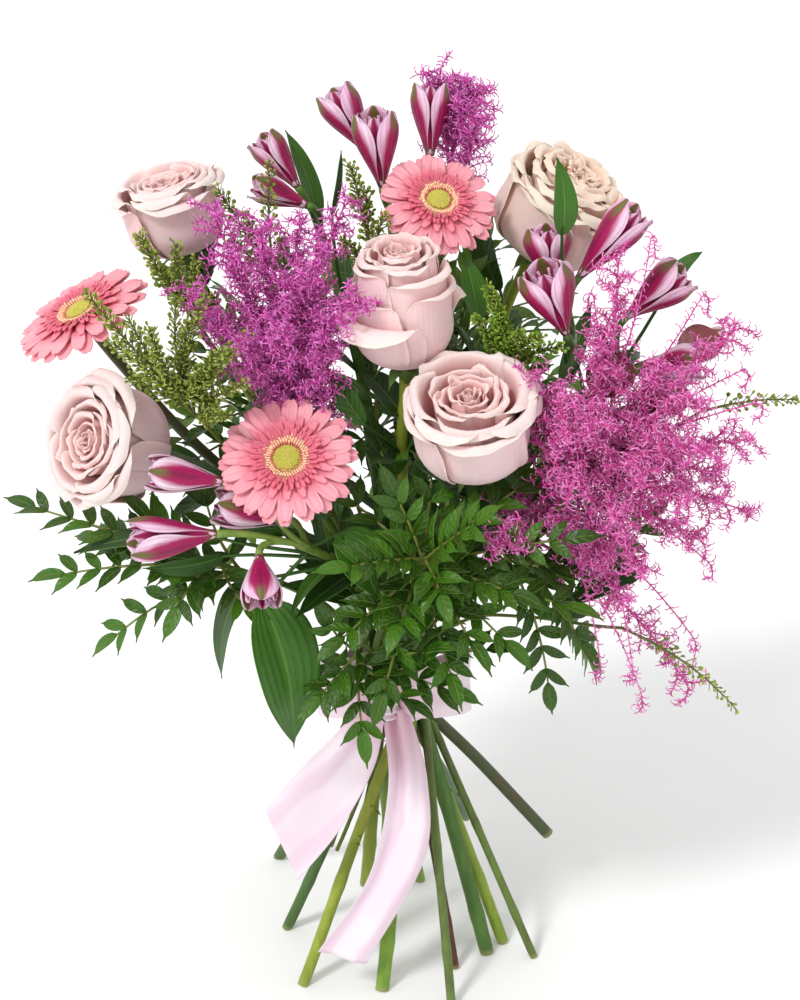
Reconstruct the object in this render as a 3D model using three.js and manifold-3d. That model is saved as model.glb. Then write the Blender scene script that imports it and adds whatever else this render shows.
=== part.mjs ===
// A hand-tied mixed bouquet that stands on its spread stem ends: roses, gerberas, alstroemerias, dyed plumes,
// pennycress and mastic foliage, tied at the waist with twine and a satin ribbon. Millimetres, +Z up.
import * as THREE from "three";
import Module from "manifold-3d";

const wasm = await Module();
wasm.setup();
const { Manifold, Mesh } = wasm;
const { sin, cos, min, max, PI, abs } = Math;
const rad = THREE.MathUtils.degToRad;
const V = (x, y, z) => new THREE.Vector3(x, y, z);
const UP = V(0, 0, 1);

// ---------- driving dimensions ----------
const TIE = 167; // height of the binding over the surface that the stems stand on
const SPIRAL = 0.032; // lean of a stem for each millimetre that it stands off the axis at the tie
const SEAT_GAP = 0.3; // between a bloom and the stem that carries it
const STEM_GAP = 0.45; // between neighbouring stems at the tie
const CLEAR = 0.4; // least distance between the small parts of one node and its neighbours
const PETAL = 0.9; // thickness of petals and leaves
const RIBBON = { thick: 0.9, wrap: 26 };
const TWINE = { thick: 1.8, tall: 11 };

// ---------- the picture that the arrangement is laid out on ----------
// Places are given as [across, down] on an 800 x 1000 picture and a depth, where more is further back.
const PICTURE = { middle: [400, 500], mmPerPixel: 0.56 };
const VIEW = { elevation: rad(25), distance: 1500, target: V(5, 0, 281) };
const RIGHT = V(1, 0, 0);
const RISE = V(0, sin(VIEW.elevation), cos(VIEW.elevation));
const AHEAD = V(0, cos(VIEW.elevation), -sin(VIEW.elevation));
const EYE = VIEW.target.clone().addScaledVector(AHEAD, -VIEW.distance);

function ray([across, down]) {
  const scale = PICTURE.mmPerPixel / VIEW.distance;
  return AHEAD.clone()
    .addScaledVector(RIGHT, (across - PICTURE.middle[0]) * scale)
    .addScaledVector(RISE, (PICTURE.middle[1] - down) * scale);
}

function atDepth(seen, y) {
  const way = ray(seen);
  return EYE.clone().addScaledVector(way, (y - EYE.y) / way.y);
}

function atLevel(seen, z) {
  const way = ray(seen);
  return EYE.clone().addScaledVector(way, (z - EYE.z) / way.z);
}

// A direction: turned on the picture, 0 to the right and 90 up, then leaning towards the viewer.
function facing([turn, toward]) {
  const flat = RIGHT.clone().multiplyScalar(cos(rad(turn))).addScaledVector(RISE, sin(rad(turn)));
  return flat.multiplyScalar(cos(rad(toward))).addScaledVector(AHEAD, -sin(rad(toward))).normalize();
}

// ---------- seeded draws ----------
function draws(seed) {
  let state = seed >>> 0;
  return (low, high) => {
    state = (state + 0x6d2b79f5) >>> 0;
    let t = Math.imul(state ^ (state >>> 15), 1 | state);
    t = (t + Math.imul(t ^ (t >>> 7), 61 | t)) ^ t;
    return low + ((high - low) * ((t ^ (t >>> 14)) >>> 0)) / 4294967296;
  };
}

const mix = (a, b, t) => a + (b - a) * t;
const ease = (t) => {
  const x = min(max(t, 0), 1);
  return x * x * (3 - 2 * x);
};

// ---------- solids ----------
// A closed solid through rings of points; a ring of one point is a pointed end. From `turned` on, the
// sides are split along the other diagonal, so that both faces of a thin blade are split alike.
function loft(rings, turned = Infinity) {
  return grown(rings, () => null, turned);
}

// A closed solid through rings of points, with blades that grow out of it. grow(k, i) may return
// { span, rings }: a blade through those rings that stands on `span` faces between rings k and k + 1, from
// side i on.
function grown(rings, grow, turned = Infinity) {
  const points = [];
  const faces = [];
  const place = (ring) => ring.map((p) => points.push(p) - 1);
  const placed = rings.map(place);
  placed.slice(1).forEach((next, k) => {
    const here = placed[k];
    const sides = max(here.length, next.length);
    for (let i = 0; i < sides; i++) {
      const blade = grow(k, i);
      if (blade) {
        growBlade(points, faces, faceLoop(here, next, i, blade.span), blade.rings, blade.span + 1);
        i += blade.span - 1;
      } else strip(faces, here, next, i, i < turned);
    }
  });
  lid(faces, placed[0], true);
  lid(faces, placed[placed.length - 1], false);
  return solid(points, faces);
}

// The corners round a run of faces: along the near ring, then back along the far one.
function faceLoop(here, next, i, span) {
  const run = [...Array(span + 1).keys()].map((m) => i + m);
  return [...run.map((m) => here[m % here.length]), ...run.reverse().map((m) => next[m % next.length])];
}

function growBlade(points, faces, loop, rings, turned) {
  let here = loop;
  for (const ring of rings) {
    const next = ring.map((p) => points.push(p) - 1);
    for (let i = 0; i < loop.length; i++) strip(faces, here, next, i, i < turned);
    here = next;
  }
  lid(faces, here, false);
}

// The one or two triangles of side i between two rings.
function strip(faces, here, next, i, plain) {
  const j = (i + 1) % max(here.length, next.length);
  if (here.length === 1) faces.push([here[0], next[j], next[i]]);
  else if (next.length === 1) faces.push([here[i], here[j], next[0]]);
  else if (plain) faces.push([here[i], here[j], next[j]], [here[i], next[j], next[i]]);
  else faces.push([here[i], here[j], next[i]], [here[j], next[j], next[i]]);
}

function lid(faces, ring, reversed) {
  const close = (...face) => faces.push(reversed ? face.reverse() : face);
  let [low, high] = [0, ring.length - 1];
  while (high - low > 1) {
    close(ring[low], ring[low + 1], ring[high]);
    low += 1;
    if (high - low > 1) close(ring[low], ring[high - 1], ring[high]);
    high -= 1;
  }
}

function solid(points, faces) {
  let volume = 0;
  for (const [a, b, c] of faces) volume += points[a].dot(points[b].clone().cross(points[c]));
  const turned = volume < 0 ? faces.map(([a, b, c]) => [a, c, b]) : faces;
  return new Manifold(
    new Mesh({
      numProp: 3,
      vertProperties: new Float32Array(points.flatMap((p) => [p.x, p.y, p.z])),
      triVerts: new Uint32Array(turned.flat()),
    }),
  );
}

// The ring of a thin blade over a surface at(s, t): s runs across from -1 to 1, t from root to tip.
function bladeRing(at, t, cols, thick) {
  const step = 0.02;
  const [near, far] = [[], []];
  for (let i = 0; i <= cols; i++) {
    const s = -1 + (2 * i) / cols;
    const across = at(s + step, t).sub(at(s - step, t));
    const out = across.cross(at(s, t + step).sub(at(s, t - step))).setLength(thick / 2);
    near.push(at(s, t).add(out));
    far.unshift(at(s, t).sub(out));
  }
  return [...near, ...far];
}

function blade(at, cols, rows, thick = PETAL, pointed = false) {
  const shares = [...Array(rows + 1).keys()].map((j) => j / rows);
  const rings = shares.map((t) => (pointed && t === 1 ? [at(0, 1)] : bladeRing(at, t, cols, thick)));
  return loft(rings, cols + 1);
}

// Many-sided rings along a path, with one radius for each point of it.
function shaftRings(path, radii, sides, level = false, lead = RIGHT) {
  let side = null;
  return path.map((here, k) => {
    const along = path[min(k + 1, path.length - 1)].clone().sub(path[max(k - 1, 0)]).normalize();
    side = (side ?? (abs(along.dot(lead)) > 0.9 ? UP : lead)).clone();
    side.addScaledVector(along, -side.dot(along)).normalize();
    const other = along.clone().cross(side);
    return [...Array(radii[k] > 0 ? sides : 1).keys()].map((i) => {
      const turn = (2 * PI * i) / sides;
      const off = side.clone().multiplyScalar(radii[k] * cos(turn));
      off.addScaledVector(other, radii[k] * sin(turn));
      if (level && k === 0) off.addScaledVector(along, -off.z / along.z);
      return here.clone().add(off);
    });
  });
}

function tube(path, radii, sides) {
  return loft(shaftRings(path, radii, sides));
}

// The union of the parts, without any scrap that doesn't hold on to the rest.
function fuse(parts) {
  const bodies = Manifold.union(parts).simplify(0.1).decompose();
  return bodies.sort((a, b) => b.volume() - a.volume())[0];
}

// A frame on a bloom's axis: local points (x, y, z) with z along the axis become world points.
function standOn(base, axis, roll = 0) {
  const side = RIGHT.clone().addScaledVector(axis, -RIGHT.dot(axis)).normalize();
  side.applyAxisAngle(axis, roll);
  const other = axis.clone().cross(side);
  return (x, y, z) =>
    base.clone().addScaledVector(side, x).addScaledVector(other, y).addScaledVector(axis, z);
}

// ---------- the pieces ----------
const LOOKS = {
  rose_petal: [0.93, 0.75, 0.74, 0.6],
  gerbera_petal: [0.95, 0.5, 0.56, 0.6],
  gerbera_disc: [0.86, 0.8, 0.35, 0.8],
  alstroemeria_petal: [0.74, 0.24, 0.48, 0.55],
  plume: [0.76, 0.2, 0.6, 0.85],
  smoke_bush_leaf: [0.28, 0.12, 0.1, 0.7],
  pennycress: [0.5, 0.6, 0.18, 0.75],
  leaf: [0.13, 0.3, 0.08, 0.5],
  stem: [0.3, 0.45, 0.14, 0.6],
  satin: [0.93, 0.76, 0.83, 0.35],
  twine: [0.6, 0.5, 0.34, 0.95],
};

// Every solid by the node that it belongs to, so that a new one can be laid clear of the others.
const PIECES = new Map();

function put(node, look, ...made) {
  const piece = PIECES.get(node) ?? { look, parts: [] };
  for (const part of made) {
    const box = part.boundingBox();
    piece.parts.push({ part, low: box.min, high: box.max });
  }
  PIECES.set(node, piece);
}

// Whether a solid is clear of every other node, and of the earlier shoots of its own if it is a twig.
function isClear(node, made, isTwig = false) {
  const { min: low, max: high } = made.boundingBox();
  for (const [other, { parts }] of PIECES) {
    if (other === node && !isTwig) continue;
    for (const near of other === node ? parts.slice(1) : parts) {
      if (near.low.some((x, k) => x > high[k] + CLEAR || near.high[k] < low[k] - CLEAR)) continue;
      if (made.minGap(near.part, CLEAR * 1.01) < CLEAR) return false;
    }
  }
  return true;
}

// Puts the first of up to `tries` versions that is clear of every other node, and says whether one was.
function putClear(node, look, tries, make) {
  for (let k = 0; k < tries; k++) {
    const made = make(k);
    if (!isClear(node, made)) continue;
    put(node, look, made);
    return true;
  }
  return false;
}

// 0, 1, -1, 2, -2 and so on.
const toAndFro = (k) => (k % 2 ? (k + 1) / 2 : -k / 2);

// ---------- stems ----------
// Stems lean in one spiral, so that no two meet: height over the tie turns and spreads all of them alike.
function swirl(spot, z) {
  const t = (z - TIE) * SPIRAL;
  return V(spot.x - t * spot.y, spot.y + t * spot.x, z);
}

function unswirl(point) {
  const t = (point.z - TIE) * SPIRAL;
  return V((point.x + t * point.y) / (1 + t * t), (point.y - t * point.x) / (1 + t * t), 0);
}

// head: where the stem ends, on the picture and in depth; faces: the way it ends there, or else straight out
// from the waist; foot: its cut end on the picture and its height; cut: the height of a hidden cut end.
const STEMS = {
  rose_front: { head: [473, 462, -72], faces: [95, 46], r: 3.6, foot: [279, 857, 0] },
  rose_middle: { head: [404, 362, -42], faces: [93, 30], r: 3.8, foot: [366, 884, 14] },
  rose_left: { head: [152, 450, -32], faces: [172, 47], r: 3.4, foot: [467, 817, 50] },
  rose_upper_left: { head: [184, 252, 20], faces: [104, 26], r: 3.5, foot: [503, 942, 0] },
  rose_upper_right: { head: [533, 250, 50], faces: [57, 32], r: 3.4, foot: [303, 985, 0] },
  gerbera_front: { head: [288, 462, -84], faces: [100, 68], r: 3.2, cut: 0 },
  gerbera_top: { head: [437, 206, 6], faces: [72, 58], r: 3, cut: 0 },
  gerbera_left: { head: [84, 318, -14], faces: [120, 32], r: 3.6, foot: [548, 834, 44] },
  alstroemeria_top: { head: [392, 215, 42], faces: [95, 5], r: 4, foot: [382, 990, 0] },
  alstroemeria_upper_left: { head: [318, 232, 48], faces: [115, 5], r: 4.2, foot: [487, 953, 0] },
  alstroemeria_upper_right: { head: [574, 330, -12], faces: [95, 5], r: 3.2, foot: [287, 928, 0] },
  alstroemeria_right: { head: [622, 372, 8], faces: [55, 5], r: 3, cut: 70 },
  alstroemeria_left: { head: [300, 545, -86], faces: [168, 20], r: 3.2, cut: 0 },
  plume_left: { head: [292, 392, -40], r: 2.4, cut: 40 },
  plume_right: { head: [578, 462, -58], r: 2.4, cut: 50 },
  plume_top: { head: [452, 158, 66], r: 1.8, cut: 60 },
  smoke_bush: { head: [605, 470, -16], r: 2.2, cut: 60 },
  pennycress_far_left: { head: [182, 402, -66], r: 1.7, cut: 60 },
  pennycress_left: { head: [178, 300, -26], r: 1.75, cut: 70 },
  pennycress_upper_left: { head: [262, 262, 10], r: 1.6, cut: 70 },
  pennycress_top: { head: [368, 240, 16], r: 1.5, cut: 70 },
  pennycress_right: { head: [502, 364, -42], r: 1.6, cut: 70 },
  pennycress_far_right: { head: [700, 412, 14], r: 1.5, cut: 70 },
  pennycress_low_right: { head: [622, 628, -40], r: 1.5, cut: 90 },
  mastic_left: { head: [205, 560, -62], r: 2.2, cut: 60 },
  mastic_front: { head: [425, 560, -100], r: 2.6, cut: 60 },
  mastic_low: { head: [356, 655, -74], r: 1.9, cut: 100 },
  mastic_right: { head: [520, 560, -60], r: 2.6, foot: [455, 968, 0] },
  mastic_back: { head: [450, 350, 84], r: 2.6, cut: 0 },
  mastic_back_left: { head: [300, 390, 84], r: 2.4, cut: 0 },
};

for (const stem of Object.values(STEMS)) {
  const [across, down, depth] = stem.head;
  stem.top = atDepth([across, down], depth);
  stem.way = stem.faces ? facing(stem.faces) : stem.top.clone().sub(V(0, 0, TIE + 40)).normalize();
  stem.end = stem.foot ? atLevel([stem.foot[0], stem.foot[1]], stem.foot[2]) : null;
  stem.spot = unswirl(stem.end ?? stem.top);
}

// Draws the stems together at the tie until each touches its neighbours.
function packAtTie(stems) {
  const tight = (stem) => stem.r * 0.97 + STEM_GAP / 2;
  const rounds = 1500;
  for (let round = 0; round < rounds; round++) {
    if (round < rounds * 0.8) for (const stem of stems) stem.spot.multiplyScalar(0.992);
    for (let i = 0; i < stems.length; i++)
      for (let j = i + 1; j < stems.length; j++) {
        const apart = stems[j].spot.clone().sub(stems[i].spot);
        const short = tight(stems[i]) + tight(stems[j]) - apart.length();
        if (short <= 0) continue;
        apart.setLength(short / 2);
        stems[i].spot.sub(apart);
        stems[j].spot.add(apart);
      }
  }
}
packAtTie(Object.values(STEMS));
const BUNDLE = max(...Object.values(STEMS).map((stem) => stem.spot.length() + stem.r * 1.06));

const SPREAD_FROM = 30; // height over the tie where a stem leaves the spiral for its own head
const UPPER_STEPS = 3; // stretches of a stem between the spiral and its head
const SHORT = 10; // how far under its head a stem's own shaft ends, below the cup

// The points of a stem from its cut end to its head; from point `fork` on, it leaves the spiral.
function stemPath(stem) {
  const cut = stem.end ? stem.end.z : stem.cut;
  const foot = swirl(stem.spot, cut);
  const stray = stem.end ? stem.end.clone().sub(foot) : V(0, 0, 0);
  const low = [foot.clone().add(stray)];
  if (stray.length() > 3) low.push(swirl(stem.spot, mix(cut, TIE, 0.5)).addScaledVector(stray, 0.5));
  low.push(swirl(stem.spot, TIE - 22).addScaledVector(stray, 0.03), swirl(stem.spot, TIE + SPREAD_FROM));
  const start = low[low.length - 1];
  const lean = start.clone().sub(swirl(stem.spot, TIE)).normalize();
  const end = stem.top.clone().addScaledVector(stem.way, -SHORT);
  const reach = end.distanceTo(start);
  const curve = new THREE.CubicBezierCurve3(
    start,
    start.clone().addScaledVector(lean, reach * 0.36),
    end.clone().addScaledVector(stem.way, -reach * 0.3),
    end,
  );
  stem.fork = low.length - 1;
  return [...low, ...curve.getPoints(UPPER_STEPS).slice(1)];
}
for (const stem of Object.values(STEMS)) stem.path = stemPath(stem);

// The nearest points of two straight stretches, as shares of each.
function nearest(a0, a1, b0, b1) {
  const [d, e, r] = [a1.clone().sub(a0), b1.clone().sub(b0), a0.clone().sub(b0)];
  const [dd, ee, de, dr, er] = [d.dot(d), e.dot(e), d.dot(e), d.dot(r), e.dot(r)];
  const share = (x) => min(max(x, 0), 1);
  const skew = dd * ee - de * de;
  const first = skew > 1e-6 ? share((de * er - dr * ee) / skew) : 0.5;
  const v = ee > 0 ? share((de * first + er) / ee) : 0;
  const u = dd > 0 ? share((de * v - dr) / dd) : 0;
  return { u, v, apart: a0.clone().addScaledVector(d, u).sub(b0.clone().addScaledVector(e, v)) };
}

// Rounded rods that stand for what stems have to pass: { owner, a, b, r }.
const BULKS = [];

// Moves the free points of stems apart where two stems, or a stem and a bloom, come too near.
function untangle(stems, rounds) {
  const shove = (stem, k, u, way, far) => {
    for (const [at, weight] of [[k, 1 - u], [k + 1, u]])
      if (at > stem.fork && at < stem.path.length - 1)
        stem.path[at].addScaledVector(way, far * max(weight, 0.3));
  };
  for (let round = 0; round < rounds; round++)
    for (const [i, stem] of stems.entries())
      for (let k = stem.fork; k + 1 < stem.path.length; k++) {
        const [p, q] = [stem.path[k], stem.path[k + 1]];
        for (const { owner, a, b, r } of BULKS) {
          if (owner === stem.name) continue;
          const { u, apart } = nearest(p, q, a, b);
          const short = r + stem.r + 1.2 - apart.length();
          if (short > 0) shove(stem, k, u, apart.normalize(), short * 0.5);
        }
        for (const other of stems.slice(i + 1))
          for (let m = other.fork; m + 1 < other.path.length; m++) {
            const { u, v, apart } = nearest(p, q, other.path[m], other.path[m + 1]);
            const short = stem.r + other.r + 1.6 - apart.length();
            if (short <= 0) continue;
            apart.normalize();
            shove(stem, k, u, apart, short * 0.4);
            shove(other, m, v, apart, -short * 0.4);
          }
      }
}

// A point of a stem's free stretch, 0 at the fork and 1 at the head, and the way that it runs there.
function along(stem, share) {
  const count = stem.path.length - 1 - stem.fork;
  const k = stem.fork + min(Math.floor(share * count), count - 1);
  const [p, q] = [stem.path[k], stem.path[k + 1]];
  return { at: p.clone().lerp(q, share * count - (k - stem.fork)), way: q.clone().sub(p).normalize() };
}

// The shaft's rings from the cut end up; cups and heads add their own on top.
function stemRings(stem, sides, crown = []) {
  const last = stem.path.length - 1;
  const radii = stem.path.map((p, k) => mix(stem.r, stem.r * 0.8, ease(k / last)));
  const tops = crown.map(([height]) => stem.top.clone().addScaledVector(stem.way, height));
  return shaftRings([...stem.path, ...tops], [...radii, ...crown.map(([, radius]) => radius)], sides, true);
}

// ---------- leaves ----------
// A leaf and its stalk as one blade: narrow from the stem to its root, then as wide as the leaf.
function leafOn(stem, on, root, tip, width, faces, sag) {
  const face = facing(faces);
  const from = along(stem, on).at;
  const length = root.distanceTo(tip);
  const across = tip.clone().sub(root).cross(face).normalize();
  const middle = root.clone().lerp(tip, 0.5).addScaledVector(face, length * sag);
  const rib = new THREE.QuadraticBezierCurve3(root, middle, tip);
  const spine = [from, root, rib.getPoint(0.3), rib.getPoint(0.65)];
  const halves = [0.8, 0.9, 0.5 * width, 0.42 * width];
  const cols = width > 16 ? 2 : 1;
  let last = across;
  const rings = spine.map((p, k) => {
    const way = (spine[k + 1] ?? tip).clone().sub(spine[k - 1] ?? p).normalize();
    const side = across.clone().addScaledVector(way, -across.dot(way));
    if (side.length() < 0.5) side.copy(way.clone().cross(face));
    if (side.dot(last) < 0) side.negate();
    last = side.normalize();
    const out = side.clone().cross(way);
    const lift = out.clone().multiplyScalar(k < 2 ? 0.9 : PETAL / 2);
    const row = [...Array(cols + 1).keys()].map((i) => {
      const s = -1 + (2 * i) / cols;
      const fold = cols > 1 && k > 1 ? abs(s) * halves[k] * 0.24 : 0;
      return p.clone().addScaledVector(side, s * halves[k]).addScaledVector(out, fold);
    });
    return [...row.map((q) => q.clone().sub(lift)), ...row.map((q) => q.clone().add(lift)).reverse()];
  });
  return loft([...rings, [tip]], cols + 1);
}

const onPicture = ([across, down, depth]) => atDepth([across, down], depth);

// [stem, share, root, tip, width, faces, sag]
const LEAVES = [
  ["alstroemeria_upper_left", 0.9, [318, 222, 44], [285, 130, 52], 15, [10, 45], 0.06],
  ["alstroemeria_upper_left", 0.8, [332, 215, 30], [341, 150, 44], 5, [10, 40], 0.04],
  ["alstroemeria_upper_right", 0.9, [562, 236, -34], [557, 158, -24], 15, [350, 60], 0.1],
  ["alstroemeria_upper_right", 0.7, [478, 322, -20], [462, 252, -6], 17, [20, 55], 0.05],
  ["alstroemeria_right", 0.9, [672, 282, 20], [702, 252, 26], 12, [120, 40], 0.08],
  ["alstroemeria_right", 0.7, [612, 372, -4], [640, 352, 20], 14, [90, 40], 0.08],
  ["alstroemeria_left", 0.94, [262, 602, -90], [294, 746, -78], 43, [20, 58], 0.1],
  ["alstroemeria_left", 0.76, [246, 582, -74], [222, 678, -58], 19, [160, 45], 0.1],
  ["alstroemeria_left", 0.96, [338, 534, -96], [376, 598, -98], 32, [60, 50], 0.12],
  ["alstroemeria_left", 0.86, [208, 536, -72], [74, 553, -56], 19, [95, 40], 0.06],
  ["alstroemeria_left", 0.91, [236, 488, -84], [152, 476, -92], 12, [95, 50], 0.1],
  ["alstroemeria_left", 0.81, [224, 556, -70], [142, 568, -72], 15, [280, 40], 0.06],
  ["rose_front", 0.75, [575, 600, -50], [650, 568, -44], 24, [100, 45], 0.1],
  ["rose_middle", 0.7, [365, 425, -60], [332, 374, -50], 14, [150, 50], 0.08],
  ["rose_upper_left", 0.85, [205, 285, 24], [212, 232, 34], 17, [200, 50], 0.1],
  ["rose_upper_right", 0.8, [500, 290, 30], [484, 222, 36], 20, [200, 40], 0.1],
  ["gerbera_top", 0.5, [428, 640, -62], [468, 664, -84], 16, [60, 40], 0.1],
];

// Leaves step back and forth in depth until they are clear of everything else.
function putLeaves() {
  for (const [owner, on, root, tip, width, faces, sag] of LEAVES)
    putClear(owner + "_stem", "stem", 13, (k) => {
      const shift = toAndFro(k) * 3.5;
      const [rootAt, tipAt] = [root, tip].map(([x, y, depth]) => onPicture([x, y, depth + shift]));
      return leafOn(STEMS[owner], on, rootAt, tipAt, width, faces, sag);
    });
}

// ---------- roses ----------
const ROSES = {
  rose_front: { width: 74, roll: 0.3, tall: 1 },
  rose_middle: { width: 64, roll: 1.1, tall: 1.4 },
  rose_left: { width: 72, roll: 0.7, tall: 1 },
  rose_upper_left: { width: 62, roll: 1.7, tall: 1 },
  rose_upper_right: { width: 74, roll: 0.1, tall: 1 },
};
// Whorls from the outside in, as shares of the bloom's half width. Each stands on its band of the core.
const WHORLS = [
  { belly: 0.9, lip: 1.02, tall: 1.16, half: 42 },
  { belly: 0.62, lip: 0.68, tall: 1.36, half: 42 },
  { belly: 0.38, lip: 0.34, tall: 1.46, half: 42 },
];
// The core that the petals stand on, as [height, radius] in shares of the half width.
const ROSE_CORE = [
  [0, 0.2],
  [0.022, 0.18],
  [0.27, 0.24],
  [0.292, 0.22],
  [0.56, 0.2],
  [0.582, 0.18],
  [1.4, 0],
];
const ROSE_SIDES = 20; // four for each petal of a whorl: three that it stands on and one between

// A solid turned about an axis, through [height, radius] points, with a twist from ring to ring.
function turnedRings(local, profile, sides, twist = 0) {
  return profile.map(([height, radius], k) =>
    [...Array(radius > 0 ? sides : 1).keys()].map((i) => {
      const turn = (2 * PI * i) / sides + k * twist;
      return local(radius * cos(turn), radius * sin(turn), height);
    }),
  );
}
const turned = (...shape) => loft(turnedRings(...shape));

// A petal between its place on the core, at `turn`, and its lip; its edges lap over the next petal's.
function petalRings(local, half, { belly, lip, tall, half: spread }, turn, [low, high]) {
  const foot = (low[0] + high[0]) / 2;
  const root = (low[1] + high[1]) / 2;
  const at = (s, t) => {
    const open = belly > 0.8 ? ease((t - 0.6) / 0.4) : t * t;
    const swell = mix(root, belly, sin((PI / 2) * min(t / 0.6, 1.15))) + (lip - belly) * open;
    const radius = swell + s * 0.13 * belly;
    const narrow = mix(0.62, 1, ease(t / 0.5)) * (1 - 0.2 * ease((t - 0.7) / 0.3));
    const angle = turn + rad(spread) * s * narrow;
    const height = mix(foot, tall, t) - 0.16 * s * s * t * t;
    return local(half * radius * cos(angle), half * radius * sin(angle), half * height);
  };
  return (belly > 0.5 ? [0.56, 1] : [1]).map((t) => bladeRing(at, t, 3, 0.8));
}

function roseBloom(local, width, roll, tall) {
  const half = width / 2;
  const swung = (x, y, z) =>
    local(x * cos(roll) - y * sin(roll), x * sin(roll) + y * cos(roll), z * tall);
  const core = ROSE_CORE.map((place) => place.map((share) => half * share));
  const rings = turnedRings(swung, core, ROSE_SIDES);
  return grown(rings, (k, i) => {
    if (k % 2 || k > 4 || i % 4 !== (k % 4) / 2) return null;
    const turn = (2 * PI * (i + 1.5)) / ROSE_SIDES;
    return { span: 3, rings: petalRings(swung, half, WHORLS[k / 2], turn, ROSE_CORE.slice(k, k + 2)) };
  });
}

// The green cup under a rose with its five sepals, which lie back.
function roseStem(stem) {
  const local = standOn(stem.top, stem.way);
  const rings = stemRings(stem, 5, [[-5, 5.2], [0, 4.8]]);
  return grown(rings, (k, i) => {
    if (k < rings.length - 2) return null;
    const out = rings[k][i].clone().add(rings[k][(i + 1) % 5]).multiplyScalar(0.5).sub(local(0, 0, -5));
    return { span: 1, rings: [[local(0, 0, -12).addScaledVector(out.normalize(), 19)]] };
  });
}

// ---------- gerberas ----------
const GERBERAS = {
  gerbera_front: { width: 75, roll: 0.1 },
  gerbera_top: { width: 67, roll: 0.4 },
  gerbera_left: { width: 80, roll: 0.2 },
};
// The hub's bands from the bottom up, as [height in mm, share of the half width]; rays stand on three of them.
const HUB = [[0, 0.17], [1, 0.28], [2, 0.3], [2.6, 0.3], [3.6, 0.3], [4.1, 0.3], [5, 0.29]];
const HUB_SIDES = 14;
const RAY_RINGS = {
  1: { reach: 1, wide: 0.12, rise: -1.6 },
  3: { reach: 0.96, wide: 0.125, rise: -1 },
  5: { reach: 0.62, wide: 0.07, rise: 2.6 },
};

// One ray from a face of the hub: its widest place, then a blunt point.
function rayRings(local, half, turn, height, { reach, wide, rise }) {
  const at = (r, side, z) =>
    local(half * (r * cos(turn) - side * sin(turn)), half * (r * sin(turn) + side * cos(turn)), z);
  const [widest, level] = [mix(0.3, reach, 0.72), height + rise * 0.6];
  const corners = [[-1, -1], [1, -1], [1, 1], [-1, 1]];
  const section = corners.map(([side, face]) => at(widest, side * wide, level + (face * PETAL) / 2));
  return [section, [at(reach, 0, height + rise)]];
}

function gerberaRays(local, half, roll) {
  const twist = PI / HUB_SIDES / 2;
  const spun = (x, y, z) => local(x * cos(roll) - y * sin(roll), x * sin(roll) + y * cos(roll), z);
  const rings = turnedRings(spun, HUB.map(([height, share]) => [height, half * share]), HUB_SIDES, twist);
  return grown(rings, (k, i) => {
    if (!RAY_RINGS[k]) return null;
    const turn = (2 * PI * (i + 0.5)) / HUB_SIDES + (k + 0.5) * twist;
    return { span: 1, rings: rayRings(spun, half, turn, (HUB[k][0] + HUB[k + 1][0]) / 2, RAY_RINGS[k]) };
  });
}

// The disc of small florets, as a dome with a toothed rim.
function gerberaDisc(local, half) {
  const sides = 12;
  const top = HUB[HUB.length - 1][0] + SEAT_GAP;
  const dome = [[0, 0.22], [2, 0.25], [3.6, 0.16], [2.6, 0.08]];
  return loft(
    dome.map(([height, share], k) =>
      [...Array(sides).keys()].map((i) => {
        const turn = (2 * PI * i) / sides;
        const tooth = k > 0 ? 0.5 * cos(i * PI) : 0;
        const r = half * share + tooth;
        return local(r * cos(turn), r * sin(turn), top + height + tooth * 0.6);
      }),
    ),
  );
}

// The green cup under a gerbera, with a ring of small bracts.
function gerberaStem(stem) {
  const local = standOn(stem.top, stem.way);
  const rings = stemRings(stem, 6, [[-4, 6.4], [0, 5.8]]);
  return grown(rings, (k, i) => {
    if (k < rings.length - 2) return null;
    const out = rings[k][i].clone().add(rings[k][(i + 1) % 6]).multiplyScalar(0.5).sub(local(0, 0, -4));
    return { span: 1, rings: [[local(0, 0, -3).addScaledVector(out.normalize(), 14)]] };
  });
}

// ---------- alstroemerias ----------
// Each bloom: [stem, root on the picture and in depth, faces, length, mouth width]
const ALSTROEMERIAS = {
  alstroemeria_top_a: ["alstroemeria_top", [366, 150, 44], [120, 10], 38, 24],
  alstroemeria_top_b: ["alstroemeria_top", [382, 186, 24], [97, 22], 42, 26],
  alstroemeria_top_c: ["alstroemeria_top", [430, 156, 48], [90, 12], 40, 22],
  alstroemeria_upper_left_a: ["alstroemeria_upper_left", [297, 186, 40], [127, 14], 34, 20],
  alstroemeria_upper_left_b: ["alstroemeria_upper_left", [306, 205, 26], [160, 14], 32, 17],
  alstroemeria_upper_right_a: ["alstroemeria_upper_right", [551, 284, -22], [95, 14], 31, 27],
  alstroemeria_upper_right_b: ["alstroemeria_upper_right", [566, 334, -54], [112, 22], 40, 30],
  alstroemeria_upper_right_c: ["alstroemeria_upper_right", [580, 276, -20], [49, 14], 48, 23],
  alstroemeria_right_a: ["alstroemeria_right", [628, 316, 2], [38, 12], 40, 25],
  alstroemeria_right_b: ["alstroemeria_right", [684, 350, 14], [20, 8], 24, 12],
  alstroemeria_right_c: ["alstroemeria_right", [640, 372, -14], [10, 10], 34, 22],
  alstroemeria_left_a: ["alstroemeria_left", [222, 482, -88], [172, 12], 40, 20],
  alstroemeria_left_b: ["alstroemeria_left", [216, 534, -98], [184, 12], 46, 24],
  alstroemeria_left_c: ["alstroemeria_left", [290, 520, -76], [168, 16], 42, 22],
  alstroemeria_left_d: ["alstroemeria_left", [259, 556, -100], [275, 22], 28, 22],
};

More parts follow.
